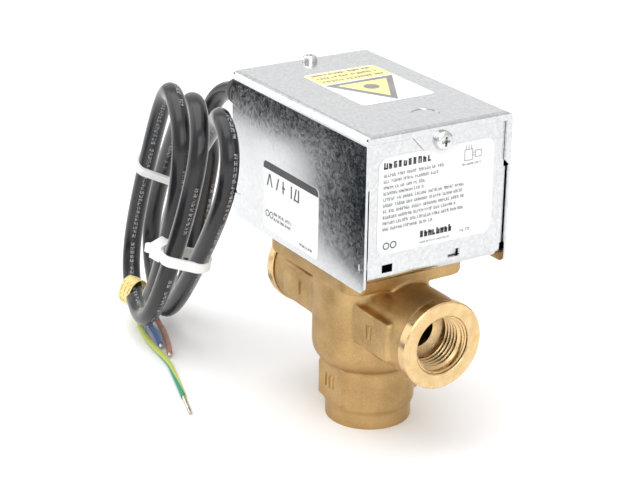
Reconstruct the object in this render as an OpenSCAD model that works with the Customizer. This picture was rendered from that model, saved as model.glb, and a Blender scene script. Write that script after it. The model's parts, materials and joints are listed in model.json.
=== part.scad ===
// Three-port motorised zone valve: cast brass T body, paddle and ball inside, and a
// sheet-metal motor head on top with its mains lead tied in a hank.
// Origin: centre of the lower port's mouth. +Z up, the cross pipe runs along X.

/* [Pipe ports] */
// Height of the cross pipe's axis over the lower port's end face
port_z = 46.4; // [44:0.2:50]
// Distance from the stem plane to the end face of port B
port_b_x = 47.2; // [44:0.2:52]
// Distance from the stem plane to the end face of port A
port_a_x = 49; // [44:0.2:52]
// Major radius of the pipe thread (G 1/2)
thread_r = 10.48; // [10.3:0.01:10.6]
// Depth of the pipe thread
thread_l = 12.8; // [11:0.2:14]
// Radius of the machined collar round each port mouth
collar_r = 16.8; // [16:0.1:18]

/* [Brass body] */
// Radius of the cross pipe's cast necks
neck_r = 16.2; // [15:0.1:16.5]
// Radius of the lower port's neck
low_neck_r = 17.6; // [17:0.1:18.5]
// Outer radius of the chamber
chamber_r = 22; // [21.5:0.1:23]
// Radius of the chamber's cavity
cavity_r = 18.5; // [18:0.1:19]
// Thickness of the body's top flange
flange_t = 4.9; // [4:0.1:5]
// Thickness of the bonnet plate
bonnet_t = 6; // [5:0.1:6]

/* [Paddle and drive] */
// Distance of the stem's axis behind the cross pipe's axis
stem_y = 12; // [11.5:0.1:12.2]
// Radius of the stem
stem_r = 3; // [2.5:0.1:3]
// Radius of the rubber ball
ball_r = 8; // [7.8:0.1:8]
// Swing of the ball from one seat to the other, in degrees
swing = 60; // [56:1:60]
// Gear module
gear_m = 0.8; // [0.8:0.1:0.8]
// Teeth of the full circle that the sector belongs to
sector_z = 60; // [60:1:60]
// Teeth of the pinion
pinion_z = 12; // [12:1:12]

/* [Motor head] */
// Length of the cover along the pipe
cover_l = 92.2; // [90:0.2:94]
// Width of the cover
cover_w = 61.8; // [60:0.2:64]
// Height of the cover's top over the lower port's end face
cover_top = 128.3; // [127:0.1:130]
// Thickness of the sheet metal
sheet_t = 1; // [0.8:0.1:1]
// Radius of the motor can
motor_r = 23.2; // [22:0.1:23.4]

/* [Mains lead] */
// Diameter of the lead's sheath
lead_d = 7.5; // [7:0.1:7.5]
// Diameter of a core's insulation
core_d = 2.3; // [2:0.1:2.4]

/* [Hidden] */
$fn = 64;
e = 0.5; // how far a cutting solid runs past a face

// Levels up the axis
flange_z = 61.6;
bonnet_z = flange_z + flange_t;
deck_z = bonnet_z + bonnet_t;
floor_z = deck_z + sheet_t;
sector_bottom = 79;
sector_t = 3;
plate_z = 84.2;
plate_t = 1.5;
gearcase_z = plate_z + plate_t;
gearcase_t = 6.3;
can_z = gearcase_z + gearcase_t;
can_h = 17;

// Plan of the flange and bonnet
flange_x0 = -34.5;
flange_x1 = 25.5;
flange_y = 26;
corner_r = 7;
bonnet_holes = [[-29, -20.5], [-29, 20.5], [20, -20.5], [20, 20.5]];
head_holes = [[-29.5, 0], [19.5, -11]];

// Seats and ball
seat_r = 6.5;
seat_face = 12.1;
seat_boss_r = 10;
arm_r = stem_y / cos(swing / 2);
ball_rest = 270 - swing / 2;

// Cover and chassis along X and Y
cover_x1 = 41.2;
cover_x0 = cover_x1 - cover_l;
cover_y = cover_w / 2;
cover_z0 = 70.45;
lap = 0.2; // gap between the cover's lips and the chassis
front_x = cover_x1 - sheet_t - lap;
back_x = cover_x0 + sheet_t + lap;
chassis_y = 28.6;
chassis_top = 124.5;
bend_r = 4;
screw_y = 0.5;
front_screw_z = 122.3;
top_screw_x = -46.5;

// Drive train in plan
mesh_dir = 230;
pitch_sector = gear_m * sector_z / 2;
pitch_pinion = gear_m * pinion_z / 2;
pinion_at = [
  (pitch_sector + pitch_pinion) * cos(mesh_dir),
  stem_y + (pitch_sector + pitch_pinion) * sin(mesh_dir)
];
motor_at = [-21, -1];
pillars = [[-43, -23.5], [-43, 23.5], [9, -23.5], [-3, 24.6]];
post_dir = -20;
post_arm = 14;
post_at = [post_arm * cos(post_dir), stem_y + post_arm * sin(post_dir)];
anchor_at = [32, -12];
spring_z = 76.2;
spring_r = 1.9;

// Lead
gland_y = -20;
gland_z = 114.5;
gland_tip = -68;
gland_r = 6.4;
lead_r = lead_d / 2;

// ---------- shared shapes ----------

// points of an arc about c, from angle a0 to a1
function arc(c, r, a0, a1, n = 8) =
  [for (i = [0:n]) c + r * [cos(a0 + (a1 - a0) * i / n), sin(a0 + (a1 - a0) * i / n)]];

module rounded(x0, y0, x1, y1, r) {
  polygon(concat(
    arc([x1 - r, y1 - r], r, 0, 90),
    arc([x0 + r, y1 - r], r, 90, 180),
    arc([x0 + r, y0 + r], r, 180, 270),
    arc([x1 - r, y0 + r], r, 270, 360)
  ));
}

// a 2-D shape drawn in (y, z), standing at x and t thick along +X
module on_x(x, t) translate([x, 0, 0]) rotate([90, 0, 90]) linear_extrude(t) children();

// a 2-D shape drawn in (x, z), standing at y and t thick along +Y
module on_y(y, t) translate([0, y + t, 0]) rotate([90, 0, 0]) linear_extrude(t) children();

module rod_x(x0, x1, r, y = 0, z = 0) translate([x0, y, z]) rotate([0, 90, 0]) cylinder(r = r, h = x1 - x0);

module rod(at, z0, z1, r) translate([at[0], at[1], z0]) cylinder(r = r, h = z1 - z0);

module tube(at, z0, z1, r, bore) difference() {
  rod(at, z0, z1, r);
  rod(at, z0 - e, z1 + e, bore);
}

module ring(at, z, r, wire) translate([at[0], at[1], z]) rotate_extrude() translate([r, 0]) circle(r = wire, $fn = 24);

// pan-head screw along -Z with its head resting on z = 0, and a cross recess
module pan_screw(head_r, head_h, shank_r, shank_l) {
  difference() {
    cylinder(r = head_r, h = head_h);
    for (a = [0, 90]) rotate(a) translate([-head_r * 0.6, -head_r * 0.12, head_h * 0.5])
      cube([head_r * 1.2, head_r * 0.24, head_h]);
  }
  translate([0, 0, -shank_l]) cylinder(r = shank_r, h = shank_l + e / 2);
}

// ---------- swept cords ----------

function catmull(a, b, c, d, t) =
  0.5 * (2 * b + (c - a) * t + (2 * a - 5 * b + 4 * c - d) * t * t + (3 * b - a - 3 * c + d) * t * t * t);

// a smooth line through the points, n steps between two of them
function smooth(p, n) = let (last = len(p) - 1) concat(
  [for (i = [0:last - 1], k = [0:n - 1])
    catmull(
      i > 0 ? p[i - 1] : 2 * p[0] - p[1], p[i], p[i + 1],
      i < last - 1 ? p[i + 2] : 2 * p[last] - p[last - 1], k / n
    )],
  [p[last]]
);

function unit(v) = v / norm(v);

// a fixed side direction, square to the way the line runs
function side_of(d) = unit(cross(d, abs(d[2]) > 0.9 ? [0, 1, 0] : [0, 0, 1]));

// the side direction carried from ring to ring without twist
function carried(p, i, s) =
  let (d = unit(p[min(i + 1, len(p) - 1)] - p[max(i - 1, 0)]))
  let (now = unit(s - d * (s * d)))
  i == len(p) - 1 ? [now] : concat([now], carried(p, i + 1, now));

module sweep(p, r, sides) {
  n = len(p);
  dirs = [for (i = [0:n - 1]) unit(p[min(i + 1, n - 1)] - p[max(i - 1, 0)])];
  us = carried(p, 0, side_of(dirs[0]));
  points = [for (i = [0:n - 1], k = [0:sides - 1])
    p[i] + r * (cos(360 * k / sides) * us[i] + sin(360 * k / sides) * cross(dirs[i], us[i]))];
  walls = [for (i = [0:n - 2], k = [0:sides - 1])
    [i * sides + k, i * sides + (k + 1) % sides, (i + 1) * sides + (k + 1) % sides, (i + 1) * sides + k]];
  halves = [for (w = walls, h = [0, 1]) h == 0 ? [w[2], w[1], w[0]] : [w[3], w[2], w[0]]];
  start = [for (k = [0:sides - 1]) k];
  end = [for (k = [sides - 1:-1:0]) (n - 1) * sides + k];
  polyhedron(points, concat(halves, [start, end]));
}

// ---------- brass body ----------

module neck(reach) {
  rod_x(0, reach - 4.2, neck_r, 0, port_z);
  rod_x(reach - 4.2, reach, collar_r, 0, port_z);
  translate([12.5, -17, port_z - 7.5]) cube([23.5, 34, 15]);
}

module thread_bore(reach) {
  rod_x(reach - 1.2, reach + e, thread_r + 0.7, 0, port_z);
  rod_x(reach - 1.2 - thread_l, reach, thread_r, 0, port_z);
  rod_x(seat_face - e, reach - thread_l, seat_r, 0, port_z);
}

module plate_outline() rounded(flange_x0, -flange_y, flange_x1, flange_y, corner_r);

module body_blank() {
  cylinder(r = 16.5, h = 8);
  translate([0, 0, 7]) cylinder(r = low_neck_r, h = 20);
  translate([-8, -18, 9]) cube([16, 36, 14.5]);
  rotate_extrude() translate([chamber_r - 8, 31]) circle(r = 8);
  translate([0, 0, 23]) cylinder(r = chamber_r - 8, h = 10);
  translate([0, 0, 31]) cylinder(r = chamber_r, h = flange_z - 31 + e);
  // fillet under the flange
  rotate_extrude() difference() {
    translate([chamber_r - 1, flange_z - 5]) square([6, 5 + e]);
    translate([chamber_r + 5, flange_z - 5]) circle(r = 5);
  }
  neck(port_b_x);
  mirror([1, 0, 0]) neck(port_a_x);
  translate([0, 0, flange_z]) linear_extrude(flange_t) plate_outline();
}

module cavity() difference() {
  translate([0, 0, 29]) cylinder(r = cavity_r, h = bonnet_z - 29 + e);
  for (side = [0, 180]) rotate([0, 0, side]) rod_x(seat_face, cavity_r + 2, seat_boss_r, 0, port_z);
}

module valve_body() color("goldenrod") difference() {
  body_blank();
  cavity();
  thread_bore(port_b_x);
  mirror([1, 0, 0]) thread_bore(port_a_x);
  translate([0, 0, -e]) cylinder(r = thread_r, h = 1.2 + thread_l + e);
  cylinder(r = 8.6, h = 30);
  translate([0, 0, bonnet_z - 1.3]) difference() {
    cylinder(r = 21.6, h = 2);
    translate([0, 0, -e]) cylinder(r = 19.8, h = 3);
  }
  for (at = bonnet_holes) rod(at, flange_z + 0.8, bonnet_z + e, 2.05);
}

module bonnet_plate() color("darkgoldenrod") difference() {
  union() {
    translate([0, 0, bonnet_z]) linear_extrude(bonnet_t) plate_outline();
    translate([0, 0, flange_z + 0.2]) cylinder(r = cavity_r - 0.2, h = flange_t);
  }
  rod([0, stem_y], flange_z - e, deck_z + e, 5.5);
  for (at = bonnet_holes) {
    rod(at, bonnet_z - e, deck_z + e, 2.05);
    rod(at, deck_z - 2.4, deck_z + e, 3.8);
  }
  for (at = head_holes) rod(at, deck_z - 4.5, deck_z + e, 1.75);
}

module bonnet_seal() color("black") ring([0, 0], bonnet_z - 0.65, 20.7, 0.64);

module bonnet_screws() color("silver") for (at = bonnet_holes)
  translate([at[0], at[1], deck_z - 2.4]) pan_screw(3.6, 2.2, 2, 7);

module stem_bush() color("gold") difference() {
  union() {
    rod([0, stem_y], 60.4, deck_z + 1.7, 5.5);
    rod([0, stem_y], 60.4, flange_z + 0.2, 6.3);
  }
  rod([0, stem_y], 60, deck_z + 2, stem_r + 0.05);
  for (z = [64, 69]) rod([0, stem_y], z, z + 1.6, 4.6);
}

module stem_seals() color("black") for (z = [64.8, 69.8]) ring([0, stem_y], z, 3.94, 0.64);

module stem() color("silver") difference() {
  rod([0, stem_y], 55.5, sector_bottom + sector_t + 1.2, stem_r);
  for (s = [-1, 1]) translate([-5, stem_y + s * 5.2 - 2.5, sector_bottom - 0.6]) cube([10, 5, 8]);
}

module stem_clip() color("silver") difference() {
  tube([0, stem_y], deck_z + 2, deck_z + 2.7, 5, stem_r);
  translate([-1.2, stem_y - 6, deck_z + 1]) cube([2.4, 5, 3]);
}

module paddle_arm() color("gainsboro") translate([0, stem_y, 0]) {
  difference() {
    union() {
      rod([0, 0], 55.5, 59.8, 4.6);
      rotate(ball_rest) translate([0, -2.5, 56]) cube([arm_r, 5, 2.4]);
      rotate(ball_rest) rod([arm_r, 0], 56, 58.4, 2.5);
    }
    rod([0, 0], 55, 60, stem_r);
  }
  rotate(ball_rest) rod([arm_r, 0], port_z - 7, 57, 1.8);
}

module paddle_ball() color("black") translate([0, stem_y, port_z]) rotate(ball_rest) translate([arm_r, 0, 0])
  difference() {
    sphere(r = ball_r);
    cylinder(r = 1.8, h = 20, center = true);
  }

// ---------- gears ----------

function involute(a) = tan(a) * 180 / PI - a;

// half the angle that a tooth of a z-tooth gear takes at radius r
function half_tooth(z, r, base) =
  86 / z + involute(20) - involute(acos(min(1, base / r)));

// one side of a tooth, from radius r0 to radius r1
function flank(z, r0, r1, base, s) = [for (k = [0:4])
  let (r = r0 + (r1 - r0) * k / 4)
  r * [cos(s * half_tooth(z, r, base)), sin(s * half_tooth(z, r, base))]];

// one tooth about +X, its foot sunk into the wheel
module tooth(z) {
  pitch = gear_m * z / 2;
  base = pitch * cos(20);
  foot = pitch - 1.25 * gear_m;
  tip = pitch + 0.85 * gear_m;
  root = max(foot + 0.05, base);
  low = half_tooth(z, root, base);
  polygon(concat(
    flank(z, root, tip, base, -1),
    flank(z, tip, root, base, 1),
    [(foot - 0.4) * [cos(low), sin(low)], (foot - 0.4) * [cos(low), -sin(low)]]
  ));
}

// the sector's teeth cover the swing and two more pitches each side
module sector_gear() color("tan") translate([0, stem_y, sector_bottom]) difference() {
  union() {
    linear_extrude(sector_t) {
      intersection() {
        circle(r = pitch_sector - 1.25 * gear_m);
        polygon(concat([[0, 0]], arc([0, 0], 60, mesh_dir - swing - 12, mesh_dir + 12, 12)));
      }
      for (i = [-2:swing / 6 + 1]) rotate(mesh_dir - 6 * (i + 0.5)) tooth(sector_z);
      circle(r = 6.5);
      rotate(post_dir) translate([0, -2.6]) square([post_arm, 5.2]);
      translate([post_arm * cos(post_dir), post_arm * sin(post_dir)]) circle(r = 3);
    }
    rod([0, 0], -2.5, sector_t, 6);
    rod([post_arm * cos(post_dir), post_arm * sin(post_dir)], -5, 1, 1);
  }
  difference() {
    rod([0, 0], -4, sector_t + e, stem_r);
    for (s = [-1, 1]) translate([-5, s * 5.2 - 2.5, -0.6]) cube([10, 5, 8]);
  }
  rotate(mesh_dir - swing / 2) linear_extrude(20, center = true) rounded(10, -5, 18, 5, 2);
}

module drive_pinion() color("white") translate([pinion_at[0], pinion_at[1], 0]) {
  translate([0, 0, sector_bottom - 0.5]) linear_extrude(sector_t + 1) {
    circle(r = pitch_pinion - 1.25 * gear_m);
    for (i = [0:pinion_z - 1]) rotate(mesh_dir - 180 + 30 * i) tooth(pinion_z);
  }
  rod([0, 0], sector_bottom - 1.5, gearcase_z + 2, 1.5);
}

// ---------- head ----------

module return_spring() color("silver") translate([post_at[0], post_at[1], spring_z])
  rotate(atan2(anchor_at[1] - post_at[1], anchor_at[0] - post_at[0])) {
    reach = norm(anchor_at - post_at);
    difference() {
      rod_x(2.6, reach - 2.9, spring_r);
      rod_x(2, reach - 2, spring_r - 0.5);
    }
    for (x = [0, reach]) translate([x, 0, 0]) ring([0, 0], 0, x > 0 ? 2 : 1.75, 0.3);
    rod_x(1.7, 3, 0.3);
    rod_x(reach - 3.2, reach - 1.95, 0.3);
  }

module spring_anchor() color("silver") {
  rod(anchor_at, floor_z, 77.6, 1.4);
  rod(anchor_at, 77.6, 78.4, 2.2);
}

// side view of the folded chassis: back plate, bottom, front plate
module chassis_profile() {
  inner = bend_r - sheet_t;
  polygon(concat(
    [[back_x, chassis_top]],
    arc([back_x + bend_r, deck_z + bend_r], bend_r, 180, 270),
    arc([front_x - bend_r, deck_z + bend_r], bend_r, 270, 360),
    [[front_x, chassis_top], [front_x - sheet_t, chassis_top]],
    arc([front_x - bend_r, deck_z + bend_r], inner, 360, 270),
    arc([back_x + bend_r, deck_z + bend_r], inner, 270, 180),
    [[back_x + sheet_t, chassis_top]]
  ));
}

module chassis() color("silver") difference() {
  union() {
    on_y(-chassis_y, 2 * chassis_y) chassis_profile();
    translate([back_x, -8, chassis_top - 1]) cube([sheet_t, 16, 127 - chassis_top + 1]);
    translate([back_x, -8, 126]) cube([9, 16, sheet_t]);
  }
  rod([0, stem_y], deck_z - e, floor_z + e, 5.8);
  for (at = head_holes) rod(at, deck_z - e, floor_z + e, 2.05);
  rod([30, 20], deck_z - e, floor_z + e, 1.75);
  rod([top_screw_x, screw_y], 125, 128, 1.9);
  rod_x(back_x - e, back_x + sheet_t + e, 5.6, gland_y, gland_z);
  on_x(front_x - 2, 3) {
    translate([-22.6, 76.6]) square([4.4, 3]);
    translate([5.7, 76.8]) square([5.1, 2.9]);
    translate([screw_y - 1.9, 120.4]) square([3.8, 10]);
  }
}

module head_screws() color("silver") for (at = head_holes)
  translate([at[0], at[1], floor_z]) pan_screw(3.4, 2.3, 1.75, 5);

module motor_pillars() color("silver") for (at = pillars) tube(at, floor_z, plate_z, 2.6, 1.25);

module motor_plate() color("silver") difference() {
  translate([0, 0, plate_z]) linear_extrude(plate_t) rounded(-47, -27, 13, 27.6, 4);
  rod([0, stem_y], plate_z - e, gearcase_z + e, 6.5);
  rod(pinion_at, plate_z - e, gearcase_z + e, 3.2);
  for (at = pillars) rod(at, plate_z - e, gearcase_z + e, 1.5);
}

module plate_screws() color("silver") for (at = pillars)
  translate([at[0], at[1], gearcase_z]) pan_screw(2.6, 1.6, 1.25, 7);

module motor_gearcase() color("gray") difference() {
  union() {
    rod(motor_at, gearcase_z, can_z, motor_r - 0.5);
    rod([motor_at[0] - 16, motor_at[1]], gearcase_z, can_z, 8.5);
  }
  rod(pinion_at, gearcase_z - e, gearcase_z + 2.2, 1.56);
}

module motor_can() color("silver") {
  rod(motor_at, can_z, can_z + can_h, motor_r);
  rod(motor_at, can_z + can_h, can_z + can_h + 2.5, 6);
  for (s = [-1, 1]) translate([motor_at[0], motor_at[1] + s * 24.5, can_z]) difference() {
    translate([-5, -3.5, 0]) cube([10, 7, 1]);
    translate([0, s, -e]) cylinder(r = 1.35, h = 3);
  }
}

module motor_screws() color("silver") for (s = [-1, 1])
  translate([motor_at[0], motor_at[1] + s * 25.5, can_z + 1]) pan_screw(2.1, 1.4, 1.3, 1);

// ---------- wiring in the head ----------

brown_splice = [26, 9, 100];
blue_splice = [26, -7, 97];
splice_l = 16;
sheath_end = [-41, gland_y, gland_z];

module wire(points, r) sweep(smooth(points, 4), r, 8);

module motor_leads() color("white") {
  wire([[3, 3, 103], [8, 5, 104], [14, 8, 106], [19, 10, 110], [22.6, 10, 112], [25, 9.4, 108], [25.1, 9, 101], [25.1, 9, 95]], 0.8);
  wire([[2.6, -5, 101], [8, -7, 101], [14, -9, 103], [19, -9, 107], [22.6, -8.5, 109], [25, -7.2, 105], [25.1, -7, 98], [25.1, -7, 92]], 0.8);
}

module splice_caps() color("ivory") for (at = [brown_splice, blue_splice])
  translate([at[0], at[1], at[2] - splice_l]) difference() {
    union() {
      cylinder(r = 2.6, h = splice_l);
      cylinder(r = 3.1, h = 4);
    }
    translate([0, 0, splice_l - 8]) cylinder(r = 2.1, h = 9);
  }

module wire_brown() color("sienna") wire(
  [sheath_end + [0, 1.4, 1.2], [-34, -17, 118], [-20, -10, 120], [-4, 0, 121], [12, 10, 120],
  [23, 13, 115], [27, 12, 108], [27, 9.2, 101], [27, 9, 94]], 0.9);

module wire_blue() color("royalblue") wire(
  [sheath_end + [0, -1.4, 1.2], [-34, -21.5, 117], [-20, -20, 118], [-4, -18, 118], [12, -15, 116],
  [23, -12, 112], [27, -9.5, 106], [27, -7.2, 99], [27, -7, 91]], 0.9);

module wire_earth() color("yellowgreen") wire(
  [sheath_end + [0, 0, -1.4], [-34, -20.5, 113.5], [-20, -24, 114.5], [-4, -25, 113], [10, -24, 109],
  [22, -21, 102], [31, -16, 91], [34.4, -6, 82], [34, 6, 76.6], [32, 13, 75], [30.9, 16.4, 74.6]], 0.9);

module earth_ring() color("lightgray") difference() {
  union() {
    rod([30, 20], floor_z, floor_z + 0.6, 3.2);
    translate([30, 20, floor_z]) rotate(-76) translate([0, -1.2, 0]) cube([5, 2.4, 0.6]);
  }
  rod([30, 20], floor_z - e, floor_z + 1, 1.75);
}

module earth_screw() color("gold") translate([30, 20, floor_z + 0.6]) pan_screw(2.8, 1.9, 1.7, 2.2);

// ---------- cover and labels ----------

module cover_shell() intersection() {
  on_x(cover_x0, cover_l) difference() {
    rounded(-cover_y, cover_z0 - 20, cover_y, cover_top, 3.5);
    rounded(-cover_y + sheet_t, cover_z0 - 30, cover_y - sheet_t, cover_top - sheet_t, 2.5);
  }
  on_y(-cover_y - 1, cover_w + 2) polygon(concat(
    arc([cover_x1 - 3, cover_z0 + 3], 3, 270, 360),
    arc([cover_x1 - 1.5, cover_top - 1.5], 1.5, 0, 90),
    arc([cover_x0 + 1.5, cover_top - 1.5], 1.5, 90, 180),
    arc([cover_x0 + 5.5, cover_z0 + 5.5], 5.5, 180, 270)
  ));
}

// the narrow lip folded down at each end, drawn in (y, z)
module lip() {
  translate([-cover_y + sheet_t / 2, 125]) square([cover_w - sheet_t, cover_top - 126]);
  for (s = [-1, 1]) scale_y(s) polygon([[cover_y - 0.5, 108], [28.5, 110], [28.5, 125.5], [cover_y - 0.5, 125.5]]);
}

module scale_y(s) mirror([s < 0 ? 1 : 0, 0]) children();

module cover() color("silver") difference() {
  union() {
    cover_shell();
    on_x(cover_x1 - sheet_t, sheet_t) {
      lip();
      polygon([[-11.9, 125.2], [-6.9, 119.7], [6.9, 119.7], [10.9, 125.2]]);
    }
    on_x(cover_x0, sheet_t) lip();
  }
  rod_x(cover_x1 - 2, cover_x1 + e, 1.7, screw_y, front_screw_z);
  rod([top_screw_x, screw_y], cover_top - 2, cover_top + e, 1.7);
  translate([28.4, 1.9, cover_top - 0.3]) cylinder(r = 5.2, h = 1);
  for (s = [-1, 1]) translate([-47.2, s * cover_y, 80.5]) cube([4.4, 4, 1.2], center = true);
  for (s = [-1, 1]) translate([38, s * cover_y, 79.5]) cube([1.2, 4, 3], center = true);
}

module cover_screws() color("silver") {
  translate([cover_x1, screw_y, front_screw_z]) rotate([0, 90, 0]) pan_screw(3.5, 2.2, 1.65, 5);
  translate([top_screw_x, screw_y, cover_top]) pan_screw(2.9, 2.4, 1.65, 7);
}

label_t = 0.15;

module label_front() color("white") on_x(front_x, label_t) rounded(-25.1, 83.5, 24.2, 119.5, 4);

module label_side() color("white") on_y(-cover_y - label_t, label_t) rounded(-27.3, 73, 11.2, 100, 2);

module label_top() color("white") translate([0, 0, cover_top]) linear_extrude(label_t)
  rounded(-30.5, -12.8, 11.2, 18.6, 2);

// ---------- mains lead ----------

// profile of the ribbed strain relief: distance along it, then radius
gland_profile = [
  [-4, 0], [-4, 7.4], [-1.1, 7.4], [-1.1, 5.6], [0, 5.6], [0, gland_r + 0.8], [2.4, gland_r + 0.8],
  [2.4, 5.2], [3.8, 5.2], [3.8, gland_r + 0.3], [6.6, gland_r + 0.3], [6.6, 5.2], [8, 5.2],
  [8, gland_r], [10.8, gland_r], [10.8, 5.2], [12.2, 5.2], [12.2, gland_r - 0.3], [15, gland_r - 0.3],
  [18.2, 4.8], [18.2, 0]
];

module cable_gland() color("black") translate([back_x, gland_y, gland_z]) rotate([0, -90, 0]) difference() {
  rotate_extrude() polygon([for (p = gland_profile) [p[1], p[0]]]);
  cylinder(r = lead_r + 0.02, h = 60, center = true);
}

lead_route = [
  sheath_end, [-52, gland_y, gland_z], [gland_tip, gland_y, gland_z], [-74, -20, 113.8], [-79.5, -20.3, 111.2],
  [-84, -21, 106.6], [-86.8, -21.8, 101], [-88.6, -22.5, 95]
];

// the hank stands behind the head's corner, turned a little and leaning
hank_turn = -14;
hank_lean = -6.5;
hank_mid = [-98.2, -39];
hank_w = 28;
low_loop_r = 23.5;
high_loop_r = 20;
tie_w = 4.4;
tag_r = 6;
// clear way out of port A
way_r = 10.8;

module mains_lead() color("#222222") sweep(smooth(lead_route, 3), lead_r, 10);

module lead_hank() color("#2a2a2a") difference() {
  translate([hank_mid[0], hank_mid[1], 0]) rotate([hank_lean, 0, hank_turn]) on_y(-hank_w / 2, hank_w) hull() {
    translate([-18, 31]) circle(r = low_loop_r, $fn = 40);
    translate([-6, 31]) circle(r = low_loop_r, $fn = 40);
    translate([8, 93]) circle(r = high_loop_r, $fn = 40);
    translate([40, 89]) circle(r = high_loop_r, $fn = 40);
  }
  translate([cover_x0 - 0.8, -cover_y - 0.8, 40]) cube([40, 80, 100]);
  rod_x(-200, -40, way_r, 0, port_z);
}

// a flat band round some runs of the lead, w wide across and d deep, about its own middle
module band(w, d, h) difference() {
  translate([0, 0, -h / 2]) linear_extrude(h) rounded(-w / 2 - 1.2, -d / 2 - 1.2, w / 2 + 1.2, d / 2 + 1.2, d / 2.2);
  translate([0, 0, -h]) linear_extrude(2 * h) rounded(-w / 2, -d / 2, w / 2, d / 2, d / 2.6);
}

module tie_upper() color("white")
  translate([-116, -28.1, 67.2]) rotate([0, 33, hank_turn]) rotate(80) band(23, 12, tie_w);

module tie_lower() color("white") translate([-75.4, -43.3, 45.2]) rotate([0, 24, hank_turn]) rotate(10) {
  band(30, 15, tie_w);
  translate([-19.5, -6, -3]) cube([6, 8, 6]);
}

module wire_tag() color("khaki") translate([-121, -39.7, 17]) rotate([0, -63, hank_turn]) difference() {
  cylinder(r = tag_r, h = 11, center = true);
  cylinder(r = lead_r + 0.3, h = 20, center = true);
}

// cores, from the end of the sheath to where they lie on the floor
core_r = core_d / 2;
floor_run = core_r + 0.05;
earth_route = [
  [-104.2, -40.4, 20.5], [-106.6, -40.1, 18.4], [-110.2, -39.3, 15.2], [-113.8, -38.6, 11.9], [-116.8, -38.3, 8.8],
  [-118.2, -38.7, 5.4], [-116.9, -39.6, 2.6], [-113.9, -40.9, 1.35], [-110.5, -42.2, floor_run],
  [-99, -45, floor_run], [-87, -46.5, floor_run], [-74, -48, floor_run], [-60, -52, floor_run], [-44, -57, floor_run]
];
blue_route = [
  [-102.6, -41.4, 18.6], [-105, -41.1, 16.2], [-108.2, -40, 13], [-111.2, -38.9, 10.1], [-113.3, -38.1, 7],
  [-113.2, -37.6, 3.9], [-111.3, -37.6, 1.8], [-108, -38, floor_run], [-102, -39.4, floor_run],
  [-91, -42.8, floor_run]
];
brown_route = [
  [-102.6, -38.8, 19.2], [-104.6, -38.5, 16.9], [-106.9, -37.9, 13.4], [-108.9, -36.9, 10], [-109.9, -35.7, 6.6],
  [-109.2, -34.9, 3.5], [-107.1, -34.6, 1.7], [-104, -34.9, floor_run], [-100, -36.2, floor_run],
  [-90, -39.8, floor_run], [-81.5, -43.4, floor_run]
];

module core_earth() color("yellowgreen") sweep(smooth(earth_route, 2), core_r, 8);
module core_blue() color("royalblue") sweep(smooth(blue_route, 3), core_r, 8);
module core_brown() color("sienna") sweep(smooth(brown_route, 3), core_r, 8);

// bare tinned ends of the cores
module bare_end(a, b) sweep([a, b], core_r * 0.62, 8);

module core_ends() color("silver") {
  bare_end([-44, -57, floor_run], [-30.5, -61.2, floor_run]);
  bare_end([-91, -42.8, floor_run], [-88.7, -43.5, floor_run]);
  bare_end([-81.5, -43.4, floor_run], [-79.4, -44.4, floor_run]);
}

valve_body();
bonnet_plate();
bonnet_seal();
bonnet_screws();
stem_bush();
stem_seals();
stem();
stem_clip();
paddle_arm();
paddle_ball();
sector_gear();
drive_pinion();
return_spring();
spring_anchor();
chassis();
head_screws();
motor_pillars();
motor_plate();
plate_screws();
motor_gearcase();
motor_can();
motor_screws();
motor_leads();
splice_caps();
wire_brown();
wire_blue();
wire_earth();
earth_ring();
earth_screw();
cover();
cover_screws();
label_front();
label_side();
label_top();
cable_gland();
mains_lead();
lead_hank();
tie_upper();
tie_lower();
wire_tag();
core_earth();
core_blue();
core_brown();
core_ends();
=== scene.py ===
import json
import math
import random

import bmesh
import bpy
import numpy as np
from mathutils import Matrix, Vector

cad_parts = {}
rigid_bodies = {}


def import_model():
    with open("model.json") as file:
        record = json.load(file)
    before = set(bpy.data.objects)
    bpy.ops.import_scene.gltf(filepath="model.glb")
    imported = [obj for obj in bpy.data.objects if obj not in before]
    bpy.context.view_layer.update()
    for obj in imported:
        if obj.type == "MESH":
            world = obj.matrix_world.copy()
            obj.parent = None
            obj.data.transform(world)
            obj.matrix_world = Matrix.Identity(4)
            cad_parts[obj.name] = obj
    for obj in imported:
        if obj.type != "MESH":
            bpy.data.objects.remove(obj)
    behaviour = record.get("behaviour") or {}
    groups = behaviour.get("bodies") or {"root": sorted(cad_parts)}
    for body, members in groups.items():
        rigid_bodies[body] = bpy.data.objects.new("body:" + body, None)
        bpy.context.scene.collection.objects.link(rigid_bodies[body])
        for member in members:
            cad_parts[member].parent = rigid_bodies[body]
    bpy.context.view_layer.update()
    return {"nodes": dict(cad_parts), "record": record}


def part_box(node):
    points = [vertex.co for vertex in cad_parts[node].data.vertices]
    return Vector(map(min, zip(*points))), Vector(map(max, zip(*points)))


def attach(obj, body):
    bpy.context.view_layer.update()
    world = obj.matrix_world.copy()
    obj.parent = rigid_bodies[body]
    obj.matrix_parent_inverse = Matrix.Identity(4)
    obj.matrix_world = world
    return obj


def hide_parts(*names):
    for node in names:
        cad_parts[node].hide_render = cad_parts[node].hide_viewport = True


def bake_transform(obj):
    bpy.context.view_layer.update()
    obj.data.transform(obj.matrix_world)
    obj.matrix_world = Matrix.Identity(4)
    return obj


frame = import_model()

# Three-port motorised zone valve. Points and sizes are in millimetres in the row frame, and become metres
# when a mesh is made: +X is port B, the cross pipe runs along X, +Z is up and the lower port's mouth is the
# origin.
MM = 0.001


def span(node):
    """Lowest and highest corner of a CAD node, in millimetres."""
    low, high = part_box(node)
    return np.array(low) / MM, np.array(high) / MM


def mount(name):
    found = next(m for m in frame["record"]["mounts"] if m["name"] == name)
    return np.array(found["pos_m"]) / MM, found["dims"]


def linked(name, data):
    """A new object in the scene."""
    obj = bpy.data.objects.new(name, data)
    bpy.context.scene.collection.objects.link(obj)
    return obj


# ---------- camera ----------

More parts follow.
